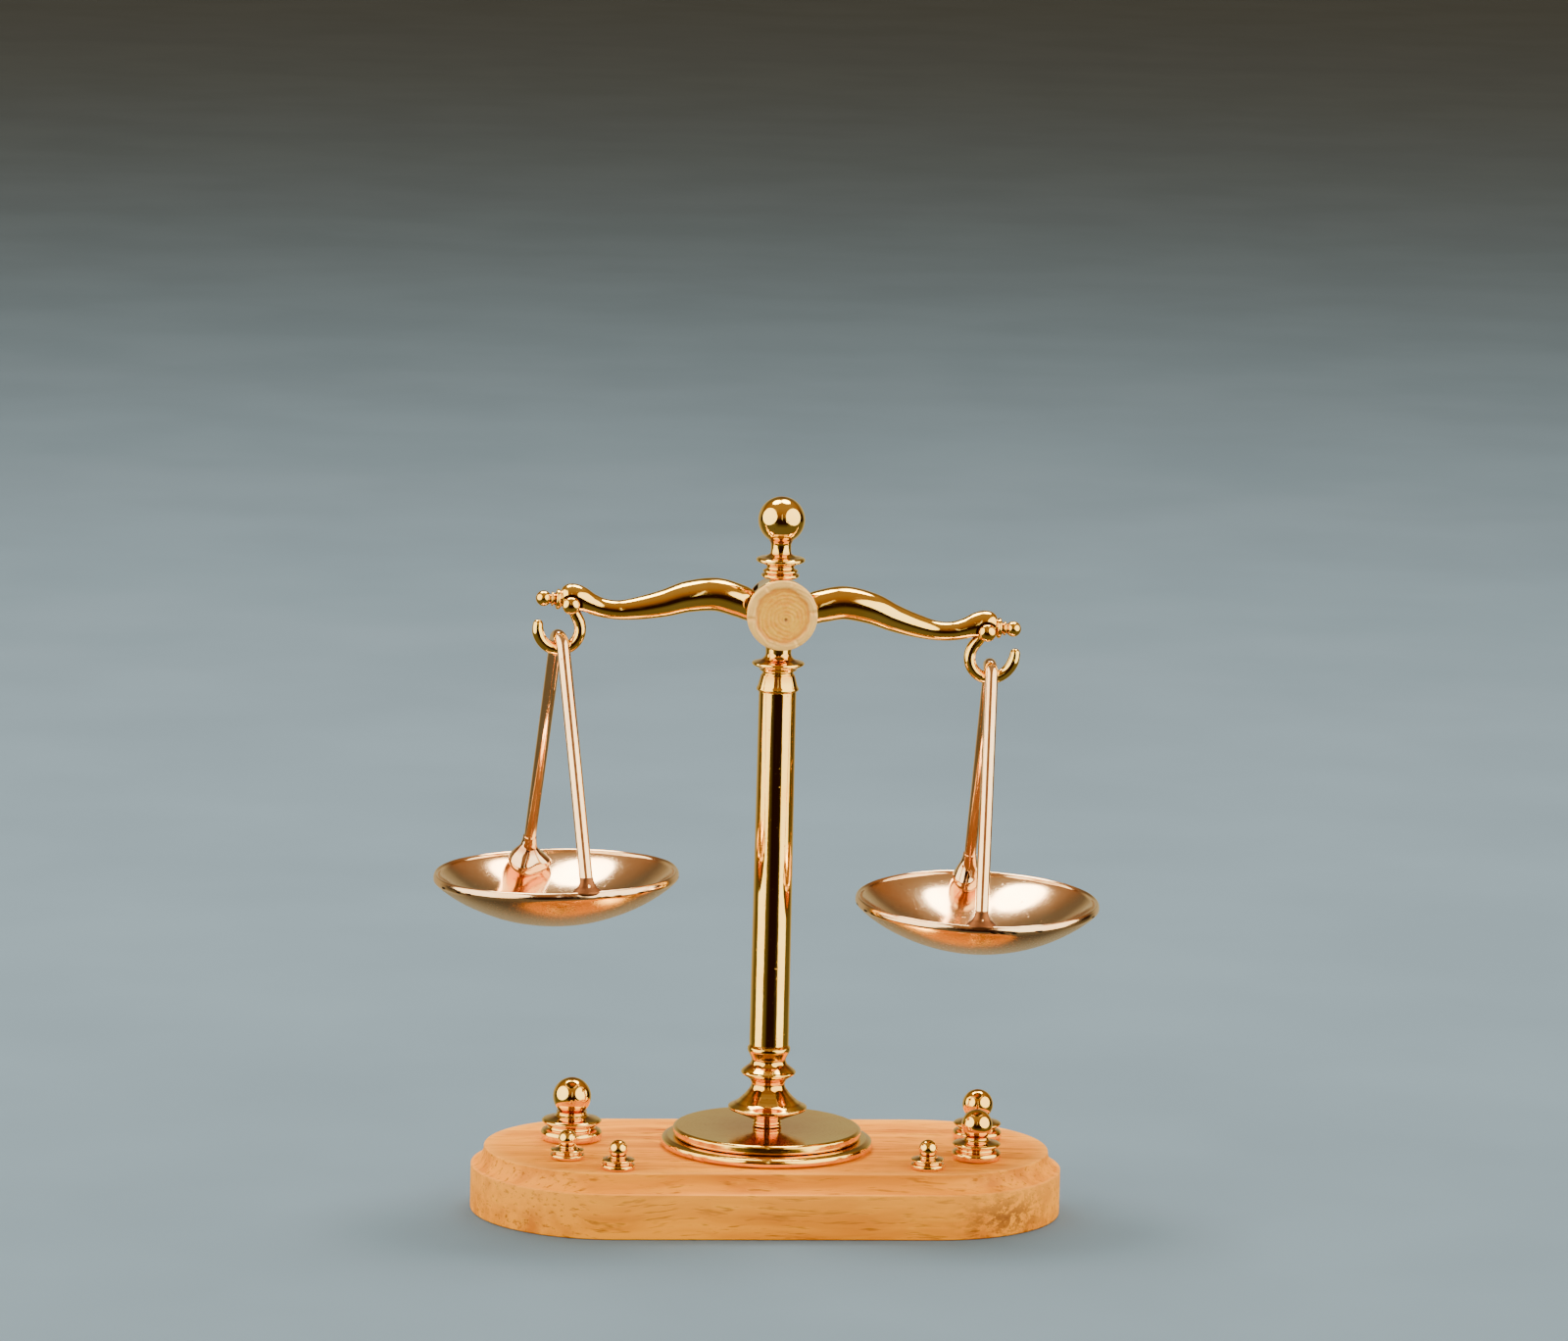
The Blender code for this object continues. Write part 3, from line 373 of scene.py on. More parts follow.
def window(value, low, high, out_low=0.0, out_high=1.0):
    """Stretch the part of a value between low and high over a new range, clamped."""
    inputs = dict(zip(range(5), (value, low, high, out_low, out_high)))
    return node(value.id_data, "ShaderNodeMapRange", inputs).outputs[0]


def noise(vector, scale, detail=2.0, rough=0.5, output="Fac"):
    """One Noise node, and its value or its colour."""
    inputs = {"Vector": vector, "Scale": scale, "Detail": detail, "Roughness": rough}
    return node(vector.id_data, "ShaderNodeTexNoise", inputs).outputs[output]


def stored(tree, name):
    """A number that the piece carries at each of its points."""
    return node(tree, "ShaderNodeAttribute", attribute_name=name).outputs["Fac"]


def mixed(factor, first, second):
    """A colour between two others."""
    made = node(factor.id_data, "ShaderNodeMix", {"Factor": factor}, data_type="RGBA")
    colours = [value if isinstance(value, bpy.types.NodeSocket) else (*value, 1.0)
               for value in (first, second)]
    fill(made.inputs, dict(zip((6, 7), colours)))
    return made.outputs[2]


def tinted(tone, mask, share, colour):
    """Mix a share of a colour into a tone where a mask is 1."""
    return mixed(times(mask, share), tone, colour)


def effect(group, vector, **values):
    """Place a shared effect with its own values, and give its outputs."""
    return node(vector.id_data, "ShaderNodeGroup", {"Vector": vector, **values}, node_tree=group).outputs


def new_group(name, inputs, outputs):
    """An empty node group with a Vector and other named inputs, and its two ends."""
    tree = bpy.data.node_groups.new(name, "ShaderNodeTree")
    tree.interface.new_socket("Vector", in_out="INPUT", socket_type="NodeSocketVector")
    for title, value in inputs.items():
        kind = "NodeSocketVector" if isinstance(value, tuple) else "NodeSocketFloat"
        tree.interface.new_socket(title, in_out="INPUT", socket_type=kind).default_value = value
    for title in outputs:
        tree.interface.new_socket(title, in_out="OUTPUT", socket_type="NodeSocketFloat")
    return tree, tree.nodes.new("NodeGroupInput").outputs, tree.nodes.new("NodeGroupOutput").inputs


print("node helpers ready")

# %% Group: plating wear
plating, given, out = new_group("plating wear", {"Along": (1.0, 1.0, 1.0), "Fineness": 1500.0},
                                ["Cloud", "Rub", "Pits", "Height"])


def at_scale(share, *rest):
    """A noise whose scale is a share of the fineness."""
    return noise(given["Vector"], times(given["Fineness"], share), *rest)


drawn_out = vectors("MULTIPLY", given["Vector"], given["Along"])
hair = noise(drawn_out, times(given["Fineness"], 3.0), 4.0, 0.65)
pits = window(at_scale(2.2, 1.0), 0.735, 0.80)
relief = plus(times(at_scale(0.45), 0.9), times(hair, 0.18))
fill(out, {"Cloud": window(at_scale(0.16, 3.0), 0.35, 0.65),
                    "Rub": window(hair, 0.54, 0.72), "Pits": pits,
                    "Height": maths("SUBTRACT", relief, times(pits, 0.7))})
print("group:", plating.name, len(plating.nodes), "nodes")

# %% Group: turning lines
turning, given, out = new_group("turning lines", {"Pitch": 0.0002}, ["Lines", "Radius"])
radius = vectors("LENGTH", given["Vector"])
wander = times(noise(given["Vector"], 900.0, 3.0), 1.6)
shaken = plus(maths("DIVIDE", radius, given["Pitch"]), wander)
wave = maths("SINE", times(shaken, 2.0 * math.pi))
fill(out, {"Lines": window(wave, -1.0, 1.0), "Radius": radius})
print("group:", turning.name, len(turning.nodes), "nodes")

# %% Group: wood grain
grain, given, out = new_group("wood grain", {}, ["Bands", "Pores", "Flecks", "Height"])
warp = noise(given["Vector"], 55.0, output="Color")
shift = vectors("MULTIPLY", warp, (0.003, 0.004, 0.004))
bent = vectors("ADD", given["Vector"], shift)
bands = noise(vectors("MULTIPLY", bent, (0.06, 1.0, 0.75)), 620.0, 4.0, 0.55)
dashes = vectors("MULTIPLY", bent, (0.11, 1.0, 1.0))
pore = window(noise(dashes, 3000.0, 2.0, 0.6), 0.56, 0.70)
fill(out, {"Bands": window(bands, 0.40, 0.62), "Pores": pore,
                  "Flecks": window(noise(dashes, 1500.0), 0.58, 0.72),
                  "Height": maths("SUBTRACT", times(bands, 0.5), pore)})
print("group:", grain.name, len(grain.nodes), "nodes")

# %% [markdown]
# ## Finishes
#
# Polished metal is almost all reflection: the shader is fully metallic, its colour tints what it
# mirrors, and its roughness says how clean the mirror is. The colour is never one flat value. It
# shifts softly with the plating's cloudiness and is painted darker in grooves as painted shade,
# and the rubbing marks roughen the mirror by a few hundredths. The pans and bails are the same
# metal with more copper in it.
#
# A pan's outside is painted browner and darker, a painted shade on the underside, and is made
# duller: the attribute `shaded_underside` says where. The front feet of the bails keep a dark crust
# of burnt flux, which hardly shines at all.

# %% Metal finishes
FINISHES = {}


def start_finish(name):
    """A new material: its tree, its shader and the object's own coordinates."""
    made = bpy.data.materials.new(name)
    made.use_nodes = True
    FINISHES[name] = made
    tree = made.node_tree
    return tree, tree.nodes["Principled BSDF"], tree.nodes.new("ShaderNodeTexCoord").outputs["Object"]


def finish_with(name, tree, shader, tone, rough, height, distance, constants):
    """Give a shader its colour, its roughness, its relief and its constants."""
    raised = node(tree, "ShaderNodeBump", {"Height": height, "Distance": distance, "Strength": 1.0})
    fill(shader.inputs, {"Base Color": tone, "Roughness": rough,
                               "Normal": raised.outputs["Normal"], **constants})
    print(f"finish {name}: {len(tree.nodes)} nodes")


def metal(name, tones, mirror, along=(1.0, 1.0, 1.0), bump=0.000004, ring_pitch=None):
    """A plated metal from its bright and deep tones and its groove tone, which is painted shade in
    grooves and the colour of pinholes, its mirror roughness, and the way it is rubbed. A ring pitch, in
    metres, adds turning lines about the column's axis."""
    bright, deep, groove = tones
    tree, shader, place = start_finish(name)
    worn = effect(plating, place, Along=along)
    tone = mixed(worn["Cloud"], bright, deep)
    # Painted shade: grooves are darkened towards the groove tone. The pinholes below take the same tone as their
    # own colour.
    tone = tinted(tone, stored(tree, "groove_shade"), 0.75, groove)
    tone = tinted(tone, worn["Pits"], 0.6, groove)
    # Painted shade: a pan's outside is browned towards a dull brown. It is also made rougher.
    shaded_underside = stored(tree, "shaded_underside")
    tone = tinted(tone, shaded_underside, 0.85, (0.46, 0.30, 0.17))
    rough = window(worn["Rub"], 0.0, 1.0, mirror, mirror + 0.10)
    rough = plus(rough, times(worn["Cloud"], 0.03))
    rough = plus(rough, times(shaded_underside, 0.10))
    height = worn["Height"]
    if ring_pitch:
        lines = effect(turning, place, Pitch=ring_pitch)["Lines"]
        height = plus(height, times(lines, 0.25))
        rough = plus(rough, times(lines, 0.05))
    finish_with(name, tree, shader, tone, rough, height, bump, {"Metallic": 1.0})


# The third tone of each metal is the painted shade for grooves, and also the colour of the plating's pinholes.
GOLD = (0.98, 0.66, 0.14), (0.93, 0.54, 0.085), (0.50, 0.14, 0.010)
ROSE = (0.96, 0.66, 0.38), (0.92, 0.55, 0.27), (0.45, 0.13, 0.03)
FLUX = (0.26, 0.10, 0.04), (0.18, 0.06, 0.02), (0.10, 0.03, 0.01)
STEEL = (0.60, 0.60, 0.60), (0.48, 0.48, 0.50), (0.16, 0.14, 0.12)

metal("gold upright", GOLD, 0.055, (1.0, 1.0, 0.05), bump=0.000007)
metal("gold beam", GOLD, 0.06, (0.06, 1.0, 1.0))
metal("gold small", GOLD, 0.06)
metal("gold disc", GOLD, 0.075, ring_pitch=0.00022)
metal("rose wire", ROSE, 0.07, (1.0, 1.0, 0.06))
metal("rose pan", ROSE, 0.11, bump=0.000006)
metal("flux stain", FLUX, 0.42)
metal("steel", STEEL, 0.24, (1.0, 1.0, 0.2))

# %% [markdown]
# The front cap is different. It was faced on a lathe and then only lightly plated, so it scatters
# light: a pale, sandy gold with faint tool rings round a centre mark that sits a little off the
# middle. Its colour comes from three rings of tone: the raised lip is painted palest, a painted
# highlight, and the corner between lip and dish is painted a darker orange, a painted shade.

# %% Front cap finish
MARK_SHIFT = np.array([0.29, -0.36])
CAP_RADIUS = float(np.ptp([corner[0] for corner in seat("front_cap")[:2]])) / 2
pivot = np.array(JOINTS["beam_rock"]["pos_m"]) / MM

tree, shader, place = start_finish("faced brass")
flat = vectors("MULTIPLY", place, (1.0, 0.0, 1.0))
mark_place = (-(pivot[0] + MARK_SHIFT[0]) * MM, 0.0, -(pivot[2] + MARK_SHIFT[1]) * MM)
rings = effect(turning, shifted(flat, mark_place), Pitch=0.00034)
from_middle = vectors("LENGTH", shifted(flat, (-pivot[0] * MM, 0.0, -pivot[2] * MM)))
ragged = plus(from_middle, times(noise(place, 1100.0, 3.0), 0.0006))


def ring_from(inner, outer):
    """0 inside one share of the cap's radius, 1 outside another."""
    return window(ragged, inner * CAP_RADIUS * MM, outer * CAP_RADIUS * MM)


# Ring masks for painted light: a painted highlight on the raised lip, and painted shade in the corner between lip
# and dish.
on_lip = ring_from(0.84, 0.93)
corner_shade = times(ring_from(0.72, 0.86), maths("SUBTRACT", 1.0, on_lip))
mottle = window(noise(place, 1500.0, 5.0, 0.7), 0.38, 0.62)
tone = mixed(mottle, (1.0, 0.53, 0.03), (0.88, 0.32, 0.0))
tone = tinted(tone, rings["Lines"], 0.20, (1.0, 0.60, 0.12))
# Painted shade in the corner, then a painted highlight on the lip.
tone = tinted(tone, corner_shade, 0.75, (0.66, 0.19, 0.01))
tone = tinted(tone, on_lip, 0.75, (1.0, 0.62, 0.19))
mark = window(rings["Radius"], 0.00008, 0.00022, 1.0, 0.0)
tone = mixed(mark, tone, (0.35, 0.14, 0.04))
worn = effect(plating, place, Fineness=2600.0)
height = plus(worn["Height"], times(rings["Lines"], 0.9))
finish_with("faced brass", tree, shader, tone, window(mottle, 0.0, 1.0, 0.42, 0.56), height,
            0.00002, {"Metallic": 0.15})

# %% [markdown]
# The board is a pale, orange-toned wood with a thin oil finish. Bands of early and late growth run
# along it, short pores darken it in dashes, and a few flecks are lighter. On its front, near the
# right-hand end, a reddish streak climbs the wall: a mineral stain, made as a stretched blot that
# a noise breaks up.

# %% Wood finish
board_low, board_high, _ = seat("wood_base")

tree, shader, place = start_finish("oiled wood")
fibre = effect(grain, place)
tone = mixed(fibre["Bands"], (0.98, 0.345, 0.001), (0.62, 0.165, 0.0))
tone = tinted(tone, fibre["Flecks"], 0.45, (1.0, 0.42, 0.01))
tone = tinted(tone, fibre["Pores"], 0.80, (0.26, 0.055, 0.0))
drift = window(noise(place, 120.0), 0.35, 0.65)
tone = tinted(tone, drift, 0.30, (1.0, 0.37, 0.002))
stain_place = (-0.79 * board_high[0] * MM, -board_low[1] * MM, -0.32 * board_high[2] * MM)
stretched = vectors("MULTIPLY", shifted(place, stain_place), (1.0, 0.7, 2.3))
blot = window(vectors("LENGTH", stretched), 0.0012, 0.0060, 1.0, 0.0)
broken = noise(vectors("MULTIPLY", place, (0.35, 1.0, 1.0)), 1700.0, 4.0, 0.7)
stain = times(blot, window(broken, 0.44, 0.54))
tone = tinted(tone, stain, 0.95, (0.16, 0.030, 0.006))
# Painted highlight: a paler orange line along the top edge and the ledge, where the edges catch the light.
tone = tinted(tone, stored(tree, "edge_highlight"), 0.40, (1.0, 0.44, 0.06))
finish_with("oiled wood", tree, shader, tone, window(fibre["Pores"], 0.0, 1.0, 0.50, 0.70),
            fibre["Height"], 0.00003, {"Specular IOR Level": 0.12})

# %% [markdown]
# ## The board
#
# The board is a long oval: two half circles with straight sides between them. Drawing the halves
# of a circle apart gives exactly that. Its top edge is cut back in a hollow, the cove, that ends
# on a narrow ledge, and below it the wall stands straight. One closed loop of rows runs from the
# bore in the middle over the top, down the cove and the wall, and back along the underside.

# %% Board
COVE_DEPTH, COVE_HEIGHT = 1.1, 1.6
BORE_RADIUS, COUNTERBORE_RADIUS, COUNTERBORE_DEPTH = 0.65, 2.4, 1.6
board_length, board_width, board_height = board_high - board_low
half_round = board_width / 2
half_straight = (board_length - board_width) / 2


def oval(columns=96):
    """Unit directions round the oval, and how far each half is drawn out along X."""
    half = np.radians(np.linspace(-90.0, 90.0, columns))
    angle = np.concatenate([half, half + math.pi])
    stretch = np.repeat([half_straight, -half_straight], columns)
    return np.cos(angle), np.sin(angle), stretch


def board_rows():
    """Each row is the oval at its own radius r and height z, mixed towards a plain circle by
    `spread`: x = r cos a + spread * stretch, y = r sin a."""
    top, wall = board_height, half_round
    quarter = np.radians(np.linspace(0, 90, 14))
    cove = np.stack([wall - COVE_DEPTH * np.cos(quarter), top - COVE_HEIGHT * np.sin(quarter)], axis=1)
    edge = soften(np.concatenate([[(wall - 2.6, top)], cove[:1], cove[2:-1],
                                  [(wall, top - COVE_HEIGHT), (wall, 0.0), (wall - 1.5, 0.0)]]), 0.14)
    bore = [(BORE_RADIUS, COUNTERBORE_DEPTH), (BORE_RADIUS, top)]
    under = [(COUNTERBORE_RADIUS + 0.5, 0.0), (COUNTERBORE_RADIUS, 0.0),
             (COUNTERBORE_RADIUS, COUNTERBORE_DEPTH)]
    line = np.concatenate([bore, edge, under])
    spread = np.concatenate([[0.0, 0.0], np.ones(len(edge)), [0.0, 0.0, 0.0]])[:, None]
    cos, sin, stretch = oval()
    r, z = line[:, :1], line[:, 1:]
    return np.stack(np.broadcast_arrays(r * cos + spread * stretch, r * sin, z), axis=-1)


def hump(value, middle, width):
    """1 at the middle, falling away on both sides as exp(-((value - middle) / width) ** 2)."""
    return np.exp(-((value - middle) / width) ** 2)


board = build("oval_board", board_rows(), "oiled wood", "stand", "wood_base", ring=True)
# Mark the board's top edge and ledge, which get the wood's painted highlight.
spots = np.zeros(len(board.data.vertices) * 3)
board.data.vertices.foreach_get("co", spots)
x, y, z = spots.reshape(-1, 3).T / MM
out_from_axis = np.hypot(np.maximum(np.abs(x) - half_straight, 0.0), y)
on_ledge = hump(z, board_height - COVE_HEIGHT, 0.16) * (out_from_axis > half_round - 0.25)
on_top_edge = hump(z, board_height, 0.10) * (out_from_axis > half_round - COVE_DEPTH - 0.2)
store(board, "edge_highlight", np.clip(on_ledge + on_top_edge, 0.0, 1.0))
print("edge lines marked on", int((on_ledge + on_top_edge > 0.5).sum()), "points")

# %% [markdown]
# ## The stand
#
# The foot discs, the turned foot, the tube, the capital and the finial are all lathe work. Each is
# one profile, read from the top down the outer side, and carried round the column's axis. A real
# turner's beads are nearly flat cones that meet in a soft edge, with narrow necks between, so the
# profiles are short straight cuts with softened corners and only the balls are true arcs. Heights
# are counted from the end where the piece meets its neighbour.

# %% Foot discs and tube
def counted_from(level, points):
    """A profile whose heights are counted from a level."""
    return np.asarray(points, float) + (0.0, level)


def turn_for_stand(name, node_name, profile, finish="gold upright"):
    """Turn a profile about the column's axis and put it in the stand."""
    build(name, turned(profile), finish, "stand", node_name)


low, high, _ = seat("foot_plate")
edge, top, bottom = high[0], high[2], low[2]
turn_for_stand("lower_foot_disc", "foot_plate", soften([
    (0.05, top), (edge - 0.55, top), (edge - 0.08, top - 0.16), (edge, top - 0.42),
    (edge - 0.06, bottom + 0.12), (edge - 0.3, bottom), (0.05, bottom)],
    [0.12, 0.16, 0.16, 0.10, 0.08]), "gold disc")

low, high, _ = seat("foot_disc")
edge, top, bottom = high[0], high[2], low[2]
turn_for_stand("upper_foot_disc", "foot_disc", soften([
    (0.05, top), (edge - 0.20, top), (edge, top - 0.14), (edge, bottom + 0.16),
    (edge - 0.14, bottom), (0.05, bottom)], [0.10, 0.10, 0.08, 0.08]), "gold disc")

low, high, _ = seat("column_tube")
TUBE_BOTTOM, TUBE_TOP, JOINT_GAP = 1.67, 1.57, 0.05
tube_base, tube_end = low[2], high[2]
turn_for_stand("tube", "column_tube", soften([
    (0.05, tube_end), (TUBE_TOP, tube_end), (TUBE_BOTTOM, tube_base), (0.05, tube_base)], 0.04))

# %% Turned foot
foot_base = seat("column_foot")[0][2]
BELL = 3.33
foot_line = counted_from(tube_base - JOINT_GAP, [
    (0.05, 0.0), (1.65, 0.0), (1.81, -0.16), (1.82, -0.44), (1.60, -0.86), (1.42, -1.26),
    (1.60, -1.66), (2.24, -2.14), (2.34, -2.30), (2.24, -2.46), (1.58, -2.90), (1.38, -3.28),
    (1.50, -3.66), (1.98, -4.28), (2.68, -4.92), (BELL, -5.24), (BELL, -5.40), (BELL - 0.10, -5.50),
    (2.40, -5.86), (1.52, -6.24), (1.08, -6.46), (1.22, -6.56), (1.22, -6.66), (1.02, -6.74),
    (1.24, -6.82)])
foot_end = counted_from(foot_base, [(1.24, 0.06), (1.16, 0.0), (0.05, 0.0)])
turn_for_stand("turned_foot", "column_foot", soften(np.concatenate([foot_line, foot_end]), [
    0.05, 0.07, 0.10, 0.20, 0.20, 0.20, 0.06, 0.06, 0.06, 0.22, 0.22, 0.22, 0.30, 0.30,
    0.05, 0.05, 0.05, 0.30, 0.20, 0.08, 0.04, 0.04, 0.04, 0.04, 0.03, 0.03]))

# %% Capital
cap_line = counted_from(seat("column_capital")[1][2], [
    (0.05, 0.0), (1.20, 0.0), (1.10, -0.28), (1.06, -0.92), (1.36, -1.30), (2.16, -1.52),
    (2.22, -1.65), (2.12, -1.78), (1.62, -2.02), (1.58, -2.16), (1.30, -2.36), (1.30, -2.46),
    (1.42, -2.60)])
cap_end = counted_from(tube_end + JOINT_GAP, [(1.66, 0.46), (1.79, 0.20), (1.77, 0.06), (1.66, 0.0),
                                              (0.05, 0.0)])
turn_for_stand("capital", "column_capital", soften(np.concatenate([cap_line, cap_end]), [
    0.06, 0.20, 0.24, 0.24, 0.05, 0.05, 0.05, 0.14, 0.08, 0.08, 0.05, 0.08, 0.20, 0.10, 0.05, 0.05]))

# %% Finial
BALL = 1.96
ball_middle = seat("finial")[1][2] - BALL
neck = counted_from(ball_middle, [(1.00, -1.72), (0.86, -1.98)])
beads = counted_from(seat("pivot_drum")[1][2] + JOINT_GAP, [
    (0.84, 2.45), (0.88, 2.02), (1.35, 1.80), (1.88, 1.72), (2.05, 1.60), (2.05, 1.44),
    (1.86, 1.30), (1.36, 1.16), (1.14, 0.96), (1.18, 0.80), (1.46, 0.66), (1.48, 0.56),
    (1.30, 0.46), (1.60, 0.30), (1.60, 0.16), (1.40, 0.0), (0.05, 0.0)])
turn_for_stand("finial_turning", "finial", np.concatenate([
    arc((0.0, ball_middle), BALL, 88.5, -58.0, 48),
    soften(np.concatenate([neck, beads]), [0.14, 0.16, 0.18, 0.12, 0.08, 0.08, 0.07, 0.07, 0.10, 0.12,
                                           0.06, 0.06, 0.05, 0.05, 0.05, 0.05, 0.05])]))

# %% [markdown]
# ## The drum and its caps
#
# The drum is a short cylinder lying along Y, a little narrower at its rear so that the cap hides
# it. The beam passes through a slot in it, so the slot is cut with a Boolean, which is exact and
# keeps its corners crisp. The top and bottom are cut flat for the finial and the capital.
#
# The front cap is the one rough face of the piece. Its lip is uneven and nicked, so the grid is
# bent by a formula: a few slow waves round the lip, deeper nicks where a sharpened wave peaks, and
# a small dimple left by the lathe's centre.

# %% Drum
low, high, _ = seat("pivot_drum")
drum_radius, face = (high[:2] - low[:2]) / 2
lying = about("X", 90.0)
FAR = 5.0
beam_way = block((-FAR, -1.52, -1.45), (FAR, 1.52, 2.1))
over_top = block((-FAR, -FAR, high[2] - pivot[2]), (FAR, FAR, FAR))
under_bottom = block((-FAR, -FAR, -FAR), (FAR, FAR, low[2] - pivot[2]))
build("drum", placed(turned(soften([
    (0.05, face), (drum_radius - 0.12, face), (drum_radius, face - 0.12), (2.64, 0.12 - face),
    (2.52, -face), (0.05, -face)], 0.06)), pivot, lying), "gold small", "stand", "pivot_drum",
    cuts=[placed(shape, pivot) for shape in (beam_way, over_top, under_bottom)])

# %% Caps
low, high, _ = seat("front_cap")
CAP_HEIGHT, CAP_DISH = 0.6, 0.17
lip, dish = CAP_RADIUS - 0.72, CAP_HEIGHT - CAP_DISH
cap_line = np.concatenate([
    np.stack([np.linspace(0.03, lip - 0.22, 40), np.full(40, dish)], axis=1),
    soften([(lip - 0.20, dish), (lip, dish + 0.03), (lip + 0.20, CAP_HEIGHT - 0.02),
            (CAP_RADIUS - 0.30, CAP_HEIGHT), (CAP_RADIUS - 0.06, CAP_HEIGHT - 0.05),
            (CAP_RADIUS, CAP_HEIGHT - 0.14), (CAP_RADIUS, 0.06), (CAP_RADIUS - 0.06, 0.0), (0.05, 0.0)],
           [0.12, 0.10, 0.10, 0.05, 0.05, 0.04, 0.04])])
rows = turned(cap_line, 192)
x, y, z = np.moveaxis(rows, -1, 0)
angle, distance = np.arctan2(y, x), np.hypot(x, y)
on_front = z > 0.3
on_lip = np.clip((distance - lip) / 0.25, 0.0, 1.0) * on_front
waves = 0.5 * np.sin(3 * angle + 0.6) + 0.3 * np.sin(7 * angle + 2.1) + 0.2 * np.sin(13 * angle)
nicks = np.maximum(np.sin(5 * angle + 1.0) * np.sin(11 * angle + 0.4), 0.0) ** 5
steps_in_dish = 0.004 * np.sin(distance * 2.0 * math.pi / 0.62)
dimple = -0.13 * hump(np.hypot(x - MARK_SHIFT[0], y - MARK_SHIFT[1]), 0.0, 0.13)
rows[..., 2] += (on_lip * (-0.04 * (1.0 + waves) - 0.18 * nicks)
                 + on_front * (dimple + (1 - on_lip) * steps_in_dish))
build("faced_front_cap", placed(rows, (pivot[0], high[1], pivot[2]), lying), "faced brass",
      "stand", "front_cap")

low, high, _ = seat("rear_cap")
rear_radius = (high[0] - low[0]) / 2
rear_line = soften([(0.05, 0.45), (1.50, 0.40), (2.30, 0.26), (rear_radius, 0.10), (rear_radius, 0.0),
                    (0.05, 0.0)], [0.6, 0.3, 0.06, 0.03])
rear_rows = placed(turned(rear_line), (pivot[0], low[1], pivot[2]), about("X", -90.0))
build("domed_rear_cap", rear_rows, "gold small", "stand", "rear_cap")

# %% [markdown]
# ## The beam
#
# The beam is one casting. Each arm leaves the drum, swells into a hump, thins to a waist and then
# arches over the pin that carries the hook. The path and the thickness are one smooth line through
# a few points of (x, height, radius, half width), so the lug at the end is a swelling of the same
# surface and its highlight runs on unbroken, as it does on a casting.
#
# The joints say where the beam's two ends are, and the line between them gives its tilt. A slot
# for the hook's eye and a round recess for the pin's head are then cut in each lug.

# %% Beam
eyes = {side: np.array(JOINTS[f"{side}_hook_swing"]["pos_m"]) / MM for side in ("left", "right")}
span = eyes["right"] - eyes["left"]
tilt = math.degrees(math.atan2(-span[2], span[0]))
EYE_X = float(np.linalg.norm(span)) / 2
EYE_DROP = 0.6
level_to_rest = about("Y", tilt)
print("beam tilt", round(tilt, 2), "degrees, arms", round(EYE_X, 2), "mm")

along_arm = np.array([
    (0.13, 0.25, 1.30, 1.30), (0.20, 0.63, 1.38, 1.38), (0.31, 1.03, 1.40, 1.40),
    (0.44, 0.70, 1.32, 1.32), (0.55, 0.02, 1.15, 1.15), (0.66, -0.50, 0.98, 0.98),
    (0.76, -0.80, 0.82, 0.84), (0.84, -0.74, 0.80, 0.84), (0.90, -0.46, 0.88, 0.90),
    (0.955, -0.13, 1.10, 0.97), (0.99, -0.04, 1.20, 1.00)]) * (EYE_X, 1.0, 1.0, 1.0)
past_eye = np.array([(0.30, -0.10, 1.12, 0.96), (0.66, -0.20, 0.78, 0.78),
                     (0.90, -0.24, 0.48, 0.50)]) + (EYE_X, 0.0, 0.0, 0.0)
half_beam = np.concatenate([along_arm, past_eye])
mirrored = half_beam[::-1] * (-1.0, 1.0, 1.0, 1.0)
line = flowing(np.concatenate([mirrored, [(0.0, 0.12, 1.30, 1.30)], half_beam]), 14)
beam_path = np.stack([line[:, 0], np.zeros(len(line)), line[:, 1]], axis=1)
beam_rows = swept(beam_path, line[:, 2:], (0.0, 1.0, 0.0), 56)

SLOT_WIDTH, SLOT_RADIUS = 1.04, 0.78
outline = np.concatenate([arc((0.0, 0.0), SLOT_RADIUS, 0.0, 180.0, 17),
                          [(-1.7 * SLOT_RADIUS, -0.1), (-2.4, -3.0), (SLOT_RADIUS, -3.0)]])
recess = turned([(1.0, 0.4), (0.96, -0.22), (0.03, -0.22), (0.03, 0.4)], 64)
cuts = []
for sign in (-1.0, 1.0):
    slot_rows = np.stack([np.stack([sign * (outline[:, 0] + EYE_X), np.full(len(outline), y),
                                    outline[:, 1] - EYE_DROP], axis=1)
                          for y in (-SLOT_WIDTH / 2, SLOT_WIDTH / 2)])
    recess_place = pivot + level_to_rest @ np.array([sign * EYE_X, -1.0, -EYE_DROP])
    cuts += [placed(slot_rows, pivot, level_to_rest), placed(recess, recess_place, lying)]
build("beam_casting", placed(beam_rows, pivot, level_to_rest), "gold beam", "balance_beam", "beam", cuts=cuts)

# %% [markdown]
# Each arm ends in a turned tip: a cone, a bead, a short neck and a round button. The hooks hang on
# headed pins, and only the round head shows at the front. Both are lathe work laid on its side.

